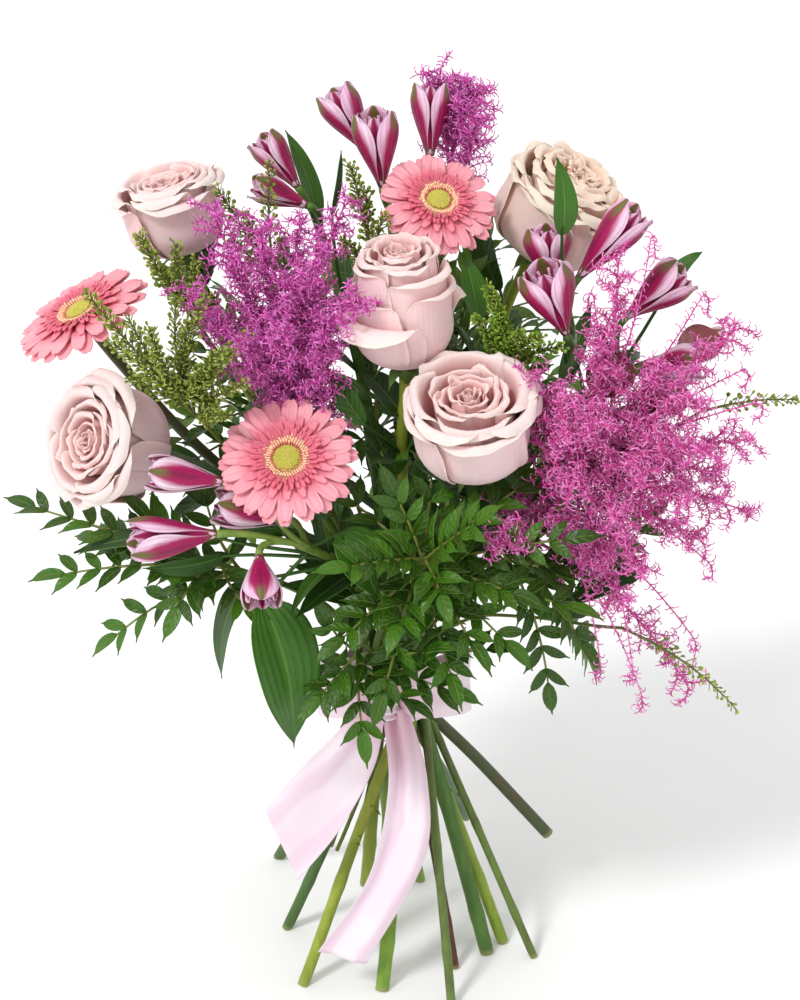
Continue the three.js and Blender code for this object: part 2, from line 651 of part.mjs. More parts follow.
// Three broad outer tepals and three narrow inner ones grow from one short tube: [share of the length,
// radius, turn in sides].
const TEPAL_BANDS = [[0, 2.1, 0], [0.05, 2.4, 0], [0.12, 2.4, 0], [0.16, 2.2, 0.5], [0.22, 2, 0.5]];

// How far a tepal has opened from its tube to its full width.
const cupped = (t) => sin((PI / 2) * min(max(t, 0) * 1.15, 1)) ** 1.3;

function outerTepal(local, length, mouth, thick, turn) {
  const at = (s, t) => {
    const cup = mix(2.4, mouth / 2, cupped(t)) * (1 - 0.16 * ease((t - 0.7) / 0.3));
    const angle = turn + rad(48) * s;
    return local(cup * cos(angle), cup * sin(angle), length * (mix(0.08, 1, t) - 0.05 * s * s));
  };
  return [bladeRing(at, 0.62, 2, thick), [at(0, 1)]];
}

function innerTepal(local, length, mouth, thick, turn) {
  const at = (s, t) => {
    const cup = mix(2.2, mouth * 0.36, cupped(t));
    const angle = turn + rad(30) * s;
    return local(cup * cos(angle), cup * sin(angle), length * mix(0.18, 0.96, t));
  };
  return [bladeRing(at, 0.6, 1, thick), [at(0, 1)]];
}

function alstroemeriaBloom(local, length, mouth) {
  const side = PI / 3;
  const thick = mouth < 16 ? 0.65 : PETAL;
  const rings = TEPAL_BANDS.map(([share, radius, turn]) =>
    [...Array(6).keys()].map((i) => {
      const angle = (i + turn) * side - PI / 2;
      return local(radius * cos(angle), radius * sin(angle), length * share);
    }),
  );
  return grown(rings, (k, i) => {
    const middle = (i + 1) * side - PI / 2;
    if (k === 1 && i % 2 === 0) return { span: 2, rings: outerTepal(local, length, mouth, thick, middle) };
    if (k === 3 && i % 2 === 1) return { span: 1, rings: innerTepal(local, length, mouth, thick, middle) };
    return null;
  });
}

// ---------- bulks that stems pass ----------
function bulk(owner, base, way, [from, to], r) {
  const [a, b] = [from, to].map((far) => base.clone().addScaledVector(way, far));
  BULKS.push({ owner, a, b, r });
}

for (const [name, stem] of Object.entries(STEMS)) stem.name = name;
for (const [name, { width, tall }] of Object.entries(ROSES)) {
  const { top, way } = STEMS[name];
  bulk(name, top, way, [width * 0.25, width * 0.42 * tall], width * 0.45);
}
for (const [name, { width }] of Object.entries(GERBERAS)) {
  const { top, way } = STEMS[name];
  bulk(name, top, way, [0, 4], 9);
  const local = standOn(top, way);
  for (let i = 0; i < 6; i++) {
    const turn = (i * PI) / 3;
    bulk(name, local(width * 0.33 * cos(turn), width * 0.33 * sin(turn), 2), way, [0, 0], width * 0.16);
  }
}
for (const [owner, root, faces, length, mouth] of Object.values(ALSTROEMERIAS))
  bulk(owner, onPicture(root), facing(faces), [length * 0.2, length * 0.9], mouth * 0.5);
untangle(Object.values(STEMS), 120);

// ---------- stems and blooms ----------
// The sprays, whose shaft is one piece with what grows on it; other stems are nodes of their own.
const SPRAYS = { plume: "plume", smoke_bush: "smoke_bush_leaf", pennycress: "pennycress", mastic: "leaf" };
const shaftSides = (r) => (r > 2.5 ? 5 : r > 1.7 ? 4 : 3);
for (const stem of Object.values(STEMS)) {
  const kind = Object.keys(SPRAYS).find((start) => stem.name.startsWith(start));
  if (kind) put(stem.name, SPRAYS[kind], loft(stemRings(stem, shaftSides(stem.r))));
}

const seated = (stem) => standOn(stem.top.clone().addScaledVector(stem.way, SEAT_GAP), stem.way);

for (const [name, { width, roll, tall }] of Object.entries(ROSES)) {
  put(name + "_stem", "stem", roseStem(STEMS[name]));
  put(name + "_bloom", "rose_petal", roseBloom(seated(STEMS[name]), width, roll, tall));
}
for (const [name, { width, roll }] of Object.entries(GERBERAS)) {
  put(name + "_stem", "stem", gerberaStem(STEMS[name]));
  put(name + "_rays", "gerbera_petal", gerberaRays(seated(STEMS[name]), width / 2, roll));
  put(name + "_disc", "gerbera_disc", gerberaDisc(seated(STEMS[name]), width / 2));
}
for (const owner of new Set(Object.values(ALSTROEMERIAS).map(([stem]) => stem)))
  put(owner + "_stem", "stem", loft(stemRings(STEMS[owner], 5, [[-5, STEMS[owner].r * 0.8]])));
for (const [bloom, [owner, root, faces, length, mouth]] of Object.entries(ALSTROEMERIAS)) {
  const stem = STEMS[owner];
  const [base, way] = [onPicture(root), facing(faces)];
  const seat = base.clone().addScaledVector(way, -SEAT_GAP);
  const neck = seat.clone().addScaledVector(way, -3);
  const from = stem.top.clone().addScaledVector(stem.way, -7);
  const far = from.distanceTo(neck);
  const curve = new THREE.CubicBezierCurve3(
    from,
    from.clone().addScaledVector(stem.way, far * 0.3),
    neck.clone().addScaledVector(way, -far * 0.4),
    neck,
  );
  put(owner + "_stem", "stem", tube([...curve.getPoints(2), seat], [1.9, 1.6, 2.3, 2.9], 3));
  put(bloom, "alstroemeria_petal", alstroemeriaBloom(standOn(base, way), length, mouth));
}

// ---------- ribbon and twine ----------
// A ring round the bundle between two distances from the stems.
function band([from, to], tall, sides) {
  const inner = (BUNDLE + from) / cos(PI / sides);
  const outer = BUNDLE + to;
  const local = standOn(V(0, 0, TIE), UP);
  const wall = turned(local, [[-tall / 2, outer], [tall / 2, outer]], sides);
  return wall.subtract(turned(local, [[-tall, inner], [tall, inner]], sides));
}
const TWINE_OFF = [0.6, 0.6 + TWINE.thick];
const WRAP_OFF = [TWINE_OFF[1] + SEAT_GAP, TWINE_OFF[1] + SEAT_GAP + RIBBON.thick];
put("binding_twine", "twine", band(TWINE_OFF, TWINE.tall, 16));

// A tail of ribbon between two edges that are curves on the picture, with soft folds across it.
function ribbonTail(left, right, folds) {
  const [from, to] = [left, right].map((edge) => new THREE.CatmullRomCurve3(edge.map(onPicture)));
  return blade(
    (s, t) => {
      const at = from.getPoint(min(max(t, 0), 1)).lerp(to.getPoint(min(max(t, 0), 1)), (s + 1) / 2);
      at.addScaledVector(AHEAD, folds * sin(s * PI) * (1 - 0.5 * t));
      return at.addScaledVector(UP, -8 * (t - min(max(t, 0), 1)));
    },
    3,
    4,
    RIBBON.thick,
  );
}

// A bow loop: a strip of the ribbon that leaves the knot, turns round and comes back to it.
function ribbonLoop(path, width) {
  const curve = new THREE.CatmullRomCurve3(path.map(([x, y, z]) => V(x, y, TIE + z)), true);
  const steps = 8;
  const rings = [[], []];
  for (let k = 0; k < steps; k++) {
    const at = curve.getPoint(k / steps);
    const out = curve.getTangent(k / steps).cross(UP).normalize();
    rings[0].push(at.clone().addScaledVector(out, RIBBON.thick / 2));
    rings[1].push(at.clone().addScaledVector(out, -RIBBON.thick / 2));
  }
  const shifted = (ring, z) => ring.map((p) => p.clone().addScaledVector(UP, z));
  const wall = (ring, extra) => loft([shifted(ring, -width / 2 - extra), shifted(ring, width / 2 + extra)]);
  const walls = rings.map((ring) => wall(ring, 0));
  const [outer, inner] = walls[0].volume() > walls[1].volume() ? [0, 1] : [1, 0];
  return walls[outer].subtract(wall(rings[inner], 1));
}

const KNOT = V(-3, -BUNDLE - WRAP_OFF[1] - 6.8, TIE + 2);
put(
  "satin_ribbon",
  "satin",
  band(WRAP_OFF, RIBBON.wrap, 16),
  turned(standOn(KNOT.clone().add(V(0, 0, -11)), UP), [[0, 4], [6, 7.5], [16, 7.5], [22, 4]], 6, 0.2),
  ribbonLoop([[-4, -25, 8], [-20, -32, 9], [-35, -29, 10], [-33, -21, 10], [-18, -24, 9]], 24),
  ribbonLoop([[-2, -25, 8], [16, -35, 10], [38, -30, 12], [37, -21, 12], [16, -26, 10]], 22),
  ribbonTail(
    [[358, 706, -31], [332, 738, -42], [298, 772, -54], [265, 810, -62]],
    [[386, 712, -32], [374, 768, -46], [338, 832, -60], [298, 880, -66]],
    1.5,
  ),
  ribbonTail(
    [[383, 712, -31], [388, 790, -50], [368, 878, -68], [318, 952, -80]],
    [[408, 706, -30], [427, 780, -46], [424, 860, -62], [366, 964, -80]],
    -1.5,
  ),
);

putLeaves();

// ---------- small repeats ----------
// The way of a side shoot that leaves `way` by the angle splay, in the direction of `out`.
function aside(way, out, splay) {
  const off = out.clone().addScaledVector(way, -out.dot(way)).normalize();
  return way.clone().multiplyScalar(cos(splay)).addScaledVector(off, sin(splay));
}

const centreOf = (points) => points.reduce((sum, p) => sum.add(p), V(0, 0, 0)).divideScalar(points.length);

// Puts a shoot with what grows on its faces. make(k, i, face, attempt) gives the rings of the blade on a
// face, or nothing; it is asked up to `tries` times, until the blade is clear of all else and of the
// shoot's other blades.
function putGrown(node, look, rings, tries, make, blades = []) {
  const shoot = grown(rings, (k, i) => {
    const next = rings[k + 1];
    if (next.length === 1) return null;
    const j = (i + 1) % next.length;
    const corners = [rings[k][i], rings[k][j], next[j], next[i]];
    const root = centreOf(corners);
    const out = root.clone().sub(centreOf([...rings[k], ...next])).normalize();
    const run = centreOf(next).sub(centreOf(rings[k])).normalize();
    for (let attempt = 0; attempt < tries; attempt++) {
      const blade = make(k, i, { root, out, run, corners }, attempt);
      if (!blade) return null;
      const tip = centreOf(blade[0]);
      const whole = loft([corners.map((p) => p.clone().lerp(tip, 0.14)), ...blade]);
      if (!isClear(node, whole, true) || blades.some((other) => other.minGap(whole, 0.3) < 0.2)) continue;
      blades.push(whole);
      return { span: 1, rings: blade };
    }
    return null;
  });
  put(node, look, shoot);
}

// The curve of a shoot from a stem to a place on the picture, bowed and moved in depth until it is clear.
function shootCurve(node, from, target, radius, bow = 0.22) {
  for (let k = 0; k < 36; k++) {
    const tip = onPicture([target[0], target[1], target[2] + toAndFro(k % 12) * 4]);
    const far = from.at.distanceTo(tip);
    const bend = from.at.clone().lerp(tip, 0.35).addScaledVector(from.way, far * bow);
    bend.addScaledVector(AHEAD, far * 0.2 * toAndFro(Math.floor(k / 12)));
    const curve = new THREE.QuadraticBezierCurve3(from.at, bend, tip);
    if (isClear(node, tube(curve.getPoints(5), Array(6).fill(radius), 4))) return curve;
  }
  return null;
}

// ---------- mastic fronds ----------
// [stem, share, tip on the picture and in depth, pairs of leaflets, the way that their tops look]
const FRONDS = [
  ["mastic_left", 1, [36, 508, -46], 4, [100, 45]],
  ["mastic_left", 0.9, [66, 574, -60], 4, [95, 50]],
  ["mastic_left", 0.8, [118, 634, -52], 3, [95, 50]],
  ["mastic_front", 1, [352, 566, -128], 3, [90, 60]],
  ["mastic_front", 1, [474, 524, -124], 3, [90, 60]],
  ["mastic_front", 0.92, [508, 592, -118], 4, [80, 60]],
  ["mastic_front", 0.84, [345, 636, -112], 3, [90, 55]],
  ["mastic_front", 0.72, [450, 672, -110], 3, [80, 50]],
  ["mastic_low", 1, [322, 694, -84], 3, [90, 60]],
  ["mastic_low", 0.9, [362, 728, -84], 2, [90, 60]],
  ["mastic_low", 0.78, [446, 690, -76], 3, [70, 60]],
  ["mastic_right", 1, [608, 556, -44], 3, [80, 45]],
  ["mastic_right", 0.93, [572, 500, -84], 3, [80, 45]],
  ["mastic_right", 0.84, [580, 640, -58], 3, [60, 50]],
  ["mastic_back", 1, [480, 250, 92], 4, [90, -50]],
  ["mastic_back", 0.92, [560, 380, 98], 3, [60, -50]],
  ["mastic_back", 0.8, [440, 400, 118], 3, [60, -50]],
  ["mastic_back_left", 1, [228, 320, 84], 4, [110, -50]],
  ["mastic_back_left", 0.92, [320, 300, 104], 3, [90, -60]],
  ["mastic_back_left", 0.8, [250, 470, 98], 3, [90, -60]],
];
const LEAFLET = { length: 25, width: 10, splay: 56 };
const RACHIS = { first: 0.36, last: 0.84, foot: 2.4 };

// The outline of a leaflet on a face: its widest place, with a corner for each corner of the face, then its tip.
function leafletRings({ root, run, corners }, way, face, long, wide) {
  const belly = root.clone().addScaledVector(way, long * 0.46);
  const across = run.clone().addScaledVector(way, -run.dot(way)).normalize();
  const ring = corners.map((corner) => {
    const off = corner.clone().sub(root);
    const [distal, upper] = [Math.sign(off.dot(run)), Math.sign(off.dot(face))];
    return belly.clone().addScaledVector(across, (distal * wide) / 2).addScaledVector(face, (upper * PETAL) / 2);
  });
  return [ring, [root.clone().addScaledVector(way, long)]];
}

for (const [name, on, target, pairs, looks] of FRONDS) {
  const curve = shootCurve(name, along(STEMS[name], on), target, 1.3);
  if (!curve) continue;
  const looked = facing(looks);
  const foot = RACHIS.foot / curve.getLength();
  const firsts = [...Array(pairs).keys()].map((i) => mix(RACHIS.first, RACHIS.last, i / (pairs - 1)));
  const stops = [0, ...firsts.flatMap((t) => [t, t + foot]), 1];
  const path = stops.map((t) => curve.getPoint(t));
  const rings = shaftRings(path, path.map((p, k) => mix(1.5, 1, k / path.length)), 3, false, looked);
  const [end, run] = [path[path.length - 1], curve.getTangent(1)];
  const face = rings[rings.length - 1][0].clone().sub(end).normalize();
  const across = run.clone().cross(face).normalize().multiplyScalar(LEAFLET.width / 2);
  const belly = end.clone().addScaledVector(run, LEAFLET.length * 0.45);
  const sides = [belly.clone().add(across), belly.clone().sub(across)];
  const wide = [belly.clone().addScaledVector(face, 0.6), ...sides];
  const tipRings = [wide, [end.clone().addScaledVector(run, LEAFLET.length)]];
  const tipRoot = rings[rings.length - 1].map((p) => p.clone().addScaledVector(run, 1));
  const tipLeaf = loft([tipRoot, ...tipRings]);
  const hasTip = isClear(name, tipLeaf);
  const shoot = hasTip ? [...rings, ...tipRings] : rings;
  const leafletOn = (k, i, at, attempt) => {
    if (k % 2 === 0 || i === 1 || k >= rings.length - 1) return null;
    const top = rings[k][0].clone().sub(path[k]).normalize();
    const out = at.out.clone().addScaledVector(top, -at.out.dot(top));
    const way = aside(at.run, out, rad(LEAFLET.splay - attempt * 5));
    way.addScaledVector(top, 0.12 + 0.1 * toAndFro(attempt)).normalize();
    return leafletRings(at, way, top, LEAFLET.length * mix(1, 0.8, k / rings.length), LEAFLET.width);
  };
  putGrown(name, "leaf", shoot, 6, leafletOn, hasTip ? [tipLeaf] : []);
}

// ---------- plumes ----------
// [stem, share, tip on the picture and in depth]
const PLUMES = [
  ["plume_left", 1, [262, 228, -34]],
  ["plume_left", 0.92, [345, 205, -20]],
  ["plume_left", 0.84, [212, 212, -28]],
  ["plume_left", 0.68, [190, 290, -50]],
  ["plume_left", 0.96, [358, 300, -66]],
  ["plume_left", 0.76, [240, 340, -76]],
  ["plume_left", 0.6, [318, 356, -70]],
  ["plume_left", 0.88, [300, 280, -56]],
  ["plume_right", 1, [735, 330, -40]],
  ["plume_right", 0.94, [618, 262, -64]],
  ["plume_right", 0.88, [745, 440, -66]],
  ["plume_right", 0.82, [700, 540, -76]],
  ["plume_right", 0.7, [622, 598, -84]],
  ["plume_right", 0.91, [530, 380, -84]],
  ["plume_right", 0.97, [660, 440, -100]],
  ["plume_right", 0.76, [565, 430, -110]],
  ["plume_right", 0.6, [690, 690, -50]],
  ["plume_top", 1, [470, 96, 66]],
  ["plume_top", 0.93, [440, 78, 62]],
  ["plume_top", 0.86, [478, 124, 50]],
];
const TWIG = { length: 18, steps: 5, foot: 0.035 };

const loose = draws(4127);
for (const [name, on, target] of PLUMES) {
  const curve = shootCurve(name, along(STEMS[name], on), target, 2);
  if (!curve) continue;
  const feet = [...Array(TWIG.steps).keys()].map((i) => 0.2 + (0.75 * i) / TWIG.steps);
  const stops = [0, ...feet.flatMap((t) => [t, t + TWIG.foot]), 1];
  const path = stops.map((t) => curve.getPoint(t));
  const radii = path.map((p, k) => (k === path.length - 1 ? 0 : mix(1.9, 1.2, k / path.length)));
  const rings = shaftRings(path, radii, 3);
  putGrown(name, "plume", rings, 8, (k, i, { root, run, out }, attempt) => {
    if (k % 2 === 0) return null;
    const way = aside(run, out, loose(0.55, 0.95) - 0.06 * attempt);
    const reach = TWIG.length * mix(1.25, 0.7, k / path.length) * (1 - 0.08 * attempt);
    return [[root.clone().addScaledVector(way, reach)]];
  });
}

// ---------- pennycress ----------
// [stem, share, tip on the picture and in depth, pods]
const RACEMES = [
  ["pennycress_upper_left", 1, [218, 190, 2], 9],
  ["pennycress_upper_left", 0.9, [270, 160, 16], 7],
  ["pennycress_left", 1, [140, 236, -22], 9],
  ["pennycress_left", 0.9, [196, 262, -40], 7],
  ["pennycress_far_left", 1, [86, 292, -84], 9],
  ["pennycress_far_left", 0.97, [150, 330, -88], 9],
  ["pennycress_far_left", 0.95, [232, 352, -92], 8],
  ["pennycress_top", 1, [350, 165, 8], 9],
  ["pennycress_top", 0.9, [384, 216, -12], 6],
  ["pennycress_right", 1, [488, 288, -62], 9],
  ["pennycress_right", 1, [540, 338, -70], 8],
  ["pennycress_far_right", 1, [798, 400, 6], 9],
  ["pennycress_low_right", 1, [738, 712, -42], 9],
];
const POD = { length: 7.5, radius: 2.1 };

for (const [name, on, target, pods] of RACEMES) {
  const curve = shootCurve(name, along(STEMS[name], on), target, 1.2);
  if (!curve) continue;
  const steps = Math.ceil(pods / 3);
  const stops = [0, ...[...Array(steps + 1).keys()].map((k) => mix(0.3, 1, k / steps))];
  const path = stops.map((t) => curve.getPoint(t));
  const rings = shaftRings(path, path.map((p, k) => mix(1.2, 0.8, k / steps)), 3);
  putGrown(name, "pennycress", rings, 6, (k, i, { root, run, out, corners }, attempt) => {
    if (k === 0) return null;
    const way = aside(run, out, mix(1.1, 0.6, k / steps) - 0.1 * attempt);
    const foot = root.clone().addScaledVector(run, (i - 1) * 2);
    const belly = foot.clone().addScaledVector(way, POD.length * 0.6);
    const ring = corners.map((p) => belly.clone().addScaledVector(p.clone().sub(root).normalize(), POD.radius));
    return [ring, [foot.clone().addScaledVector(way, POD.length)]];
  });
}

// ---------- smoke bush ----------
// [share, root and tip on the picture and in depth, width]
const ROUND_LEAVES = [
  [1, [612, 398, -6], [614, 350, 4], 24],
  [0.95, [648, 408, -4], [690, 392, 10], 24],
  [0.85, [610, 442, -8], [592, 408, 2], 22],
  [0.8, [650, 448, -10], [684, 462, 0], 24],
];
for (const [on, root, tip, width] of ROUND_LEAVES)
  putClear("smoke_bush", "smoke_bush_leaf", 15, (k) => {
    const [rootAt, tipAt] = [root, tip].map(([x, y, depth]) => onPicture([x, y, depth + toAndFro(k) * 4]));
    return leafOn(STEMS.smoke_bush, on, rootAt, tipAt, width, [90, 60], 0.08);
  });

// ---------- the group ----------
function meshOf(name, look, made) {
  const { vertProperties, triVerts } = made.getMesh();
  const geometry = new THREE.BufferGeometry();
  geometry.setAttribute("position", new THREE.BufferAttribute(Float32Array.from(vertProperties), 3));
  geometry.setIndex(new THREE.BufferAttribute(Uint32Array.from(triVerts), 1));
  const [r, g, b, roughness] = LOOKS[look];
  const mesh = new THREE.Mesh(
    geometry,
    new THREE.MeshStandardMaterial({ color: new THREE.Color(r, g, b), roughness, metalness: 0 }),
  );
  mesh.name = name;
  return mesh;
}

const bouquet = new THREE.Group();
for (const [name, { look, parts }] of PIECES) {
  const made = fuse(parts.map(({ part }) => part));
  bouquet.add(meshOf(name, look, made));
}

// The origin is the middle of the space that the bouquet takes up, on the surface that it stands on.
const space = new THREE.Box3().setFromObject(bouquet);
const middle = space.getCenter(V(0, 0, 0));
for (const mesh of bouquet.children) mesh.geometry.translate(-middle.x, -middle.y, -space.min.z);

export default bouquet;
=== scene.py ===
"""Mixed flower bouquet, hand-tied, standing on its spread stems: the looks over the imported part.

Lengths are in millimetres until a piece is made. A place written as (across, down, depth) is one
on the photograph, with its depth behind the middle of the waist.
"""

import math
import random

import bpy
import numpy as np
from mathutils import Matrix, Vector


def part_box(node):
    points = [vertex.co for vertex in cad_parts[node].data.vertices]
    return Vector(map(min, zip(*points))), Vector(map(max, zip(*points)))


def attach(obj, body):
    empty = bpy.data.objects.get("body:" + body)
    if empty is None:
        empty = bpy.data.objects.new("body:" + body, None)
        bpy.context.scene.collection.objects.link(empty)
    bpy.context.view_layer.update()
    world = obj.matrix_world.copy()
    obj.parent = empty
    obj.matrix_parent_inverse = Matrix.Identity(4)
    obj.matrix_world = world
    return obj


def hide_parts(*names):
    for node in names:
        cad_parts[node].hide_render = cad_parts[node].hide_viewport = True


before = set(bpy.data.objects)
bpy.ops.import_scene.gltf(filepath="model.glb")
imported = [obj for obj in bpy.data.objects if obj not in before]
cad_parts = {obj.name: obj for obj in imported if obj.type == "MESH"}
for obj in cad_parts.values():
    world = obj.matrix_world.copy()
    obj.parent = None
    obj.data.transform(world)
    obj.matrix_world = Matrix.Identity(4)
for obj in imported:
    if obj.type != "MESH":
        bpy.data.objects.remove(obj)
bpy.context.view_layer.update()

METRES = 0.001
UP = np.array([0.0, 0.0, 1.0])
# How high the waist is tied above the floor, and how far the twine stands out there.
TIE = 167
TWINE = 2.4
# The turn from one leaf, twig or bud to the next round its stem.
GOLDEN = math.radians(137.508)

twine_low, twine_high = (np.array(corner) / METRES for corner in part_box("binding_twine"))
WAIST = np.array([(twine_low[0] + twine_high[0]) / 2, (twine_low[1] + twine_high[1]) / 2, 0])
BUNDLE = (twine_high[0] - twine_low[0]) / 2 - TWINE


# ---------- the photograph's view ----------
# Its middle in pixels, one pixel at the waist, and what the camera looks at from the waist's foot.
MIDDLE = (400, 500)
PIXEL = 0.56
AIM = np.array([5, 0, 281])
ELEVATION = math.radians(25)
DISTANCE = 1500
RIGHT = np.array([1.0, 0.0, 0.0])
RISE = np.array([0, math.sin(ELEVATION), math.cos(ELEVATION)])
AHEAD = np.array([0, math.cos(ELEVATION), -math.sin(ELEVATION)])
EYE = WAIST + AIM - AHEAD * DISTANCE


def sight(across, down):
    """The ray from the eye through a pixel."""
    shift = RIGHT * (across - MIDDLE[0]) + RISE * (MIDDLE[1] - down)
    return AHEAD + shift * PIXEL / DISTANCE


def at_depth(place):
    """Where a place on the photograph is."""
    across, down, depth = place
    ray = sight(across, down)
    return EYE + ray * (WAIST[1] + depth - EYE[1]) / ray[1]


def facing(turn, toward):
    """A way: turn is its angle on the picture, and toward how far it comes out of it, in degrees."""
    turn, toward = math.radians(turn), math.radians(toward)
    aside = RIGHT * math.cos(turn) + RISE * math.sin(turn)
    return aside * math.cos(toward) - AHEAD * math.sin(toward)


# ---------- shapes ----------
def unit(vectors):
    """Ways of length 1."""
    lengths = np.linalg.norm(vectors, axis=-1, keepdims=True)
    return vectors / np.maximum(lengths, 1e-9)


def ease(t):
    """A soft step from 0 to 1."""
    t = np.clip(t, 0, 1)
    return t * t * (3 - 2 * t)


def mix(a, b, t):
    """From a to b as t goes from 0 to 1."""
    return a + (b - a) * t


def through(points, count):
    """A smooth line through points, as `count` places."""
    points = np.asarray(points, float)
    before, after = 2 * points[0] - points[1], 2 * points[-1] - points[-2]
    p = np.concatenate([[before], points, [after]])
    t = np.linspace(0, len(points) - 1, count)
    k = np.minimum(t.astype(int), len(points) - 2)
    u = (t - k)[:, None]
    a, b, c, d = p[k], p[k + 1], p[k + 2], p[k + 3]
    return b + 0.5 * u * (c - a + u * (2 * a - 5 * b + 4 * c - d + u * (3 * (b - c) + d - a)))


def bent(start, bend, end, count):
    """A plain arc from start to end, drawn towards bend."""
    t = np.linspace(0, 1, count)[:, None]
    return start * (1 - t) ** 2 + 2 * bend * t * (1 - t) + end * t * t


def evened(path, count):
    """The same line with its places evenly apart."""
    steps = np.linalg.norm(np.diff(path, axis=0), axis=1)
    far = np.concatenate([[0], np.cumsum(steps)])
    wanted = np.linspace(0, far[-1], count)
    return np.stack([np.interp(wanted, far, path[:, k]) for k in range(3)], axis=1)


def spin(way, turn):
    """A way square to another one, turned about it."""
    side = unit(np.cross(way, (0.3, 0.2, 0.93)))
    return side * math.cos(turn) + np.cross(way, side) * math.sin(turn)


def stand_on(base, axis):
    """A frame on a bloom's axis, which turns local (x, y, z) into places."""
    side = unit(RIGHT - axis * (RIGHT @ axis))
    other = np.cross(axis, side)

    def place(x, y, z):
        x, y, z = np.broadcast_arrays(x, y, z)
        return base + x[..., None] * side + y[..., None] * other + z[..., None] * axis

    return place


def all_round(count):
    """Even turns about an axis."""
    return np.linspace(0, 2 * math.pi, count, endpoint=False)


def swept(keys, count):
    """A curve from the first of four keys to the last, drawn towards the two between."""
    t = np.linspace(0, 1, count)[:, None]
    return (keys[0] * (1 - t) ** 3 + 3 * keys[1] * t * (1 - t) ** 2
            + 3 * keys[2] * t * t * (1 - t) + keys[3] * t ** 3)


def weave(rows, columns, edge=0.04):
    """Shares across, -1 to 1, and along, 0 to 1, with a narrow strip at each free edge."""
    across = np.linspace(-1 + edge, 1 - edge, columns)
    across = np.concatenate([[-1], across, [1]])
    along = np.concatenate([np.linspace(0, 1 - edge / 2, rows), [1]])
    return np.meshgrid(across, along)


MARKS = ("along", "across", "place", "chance", "inside")


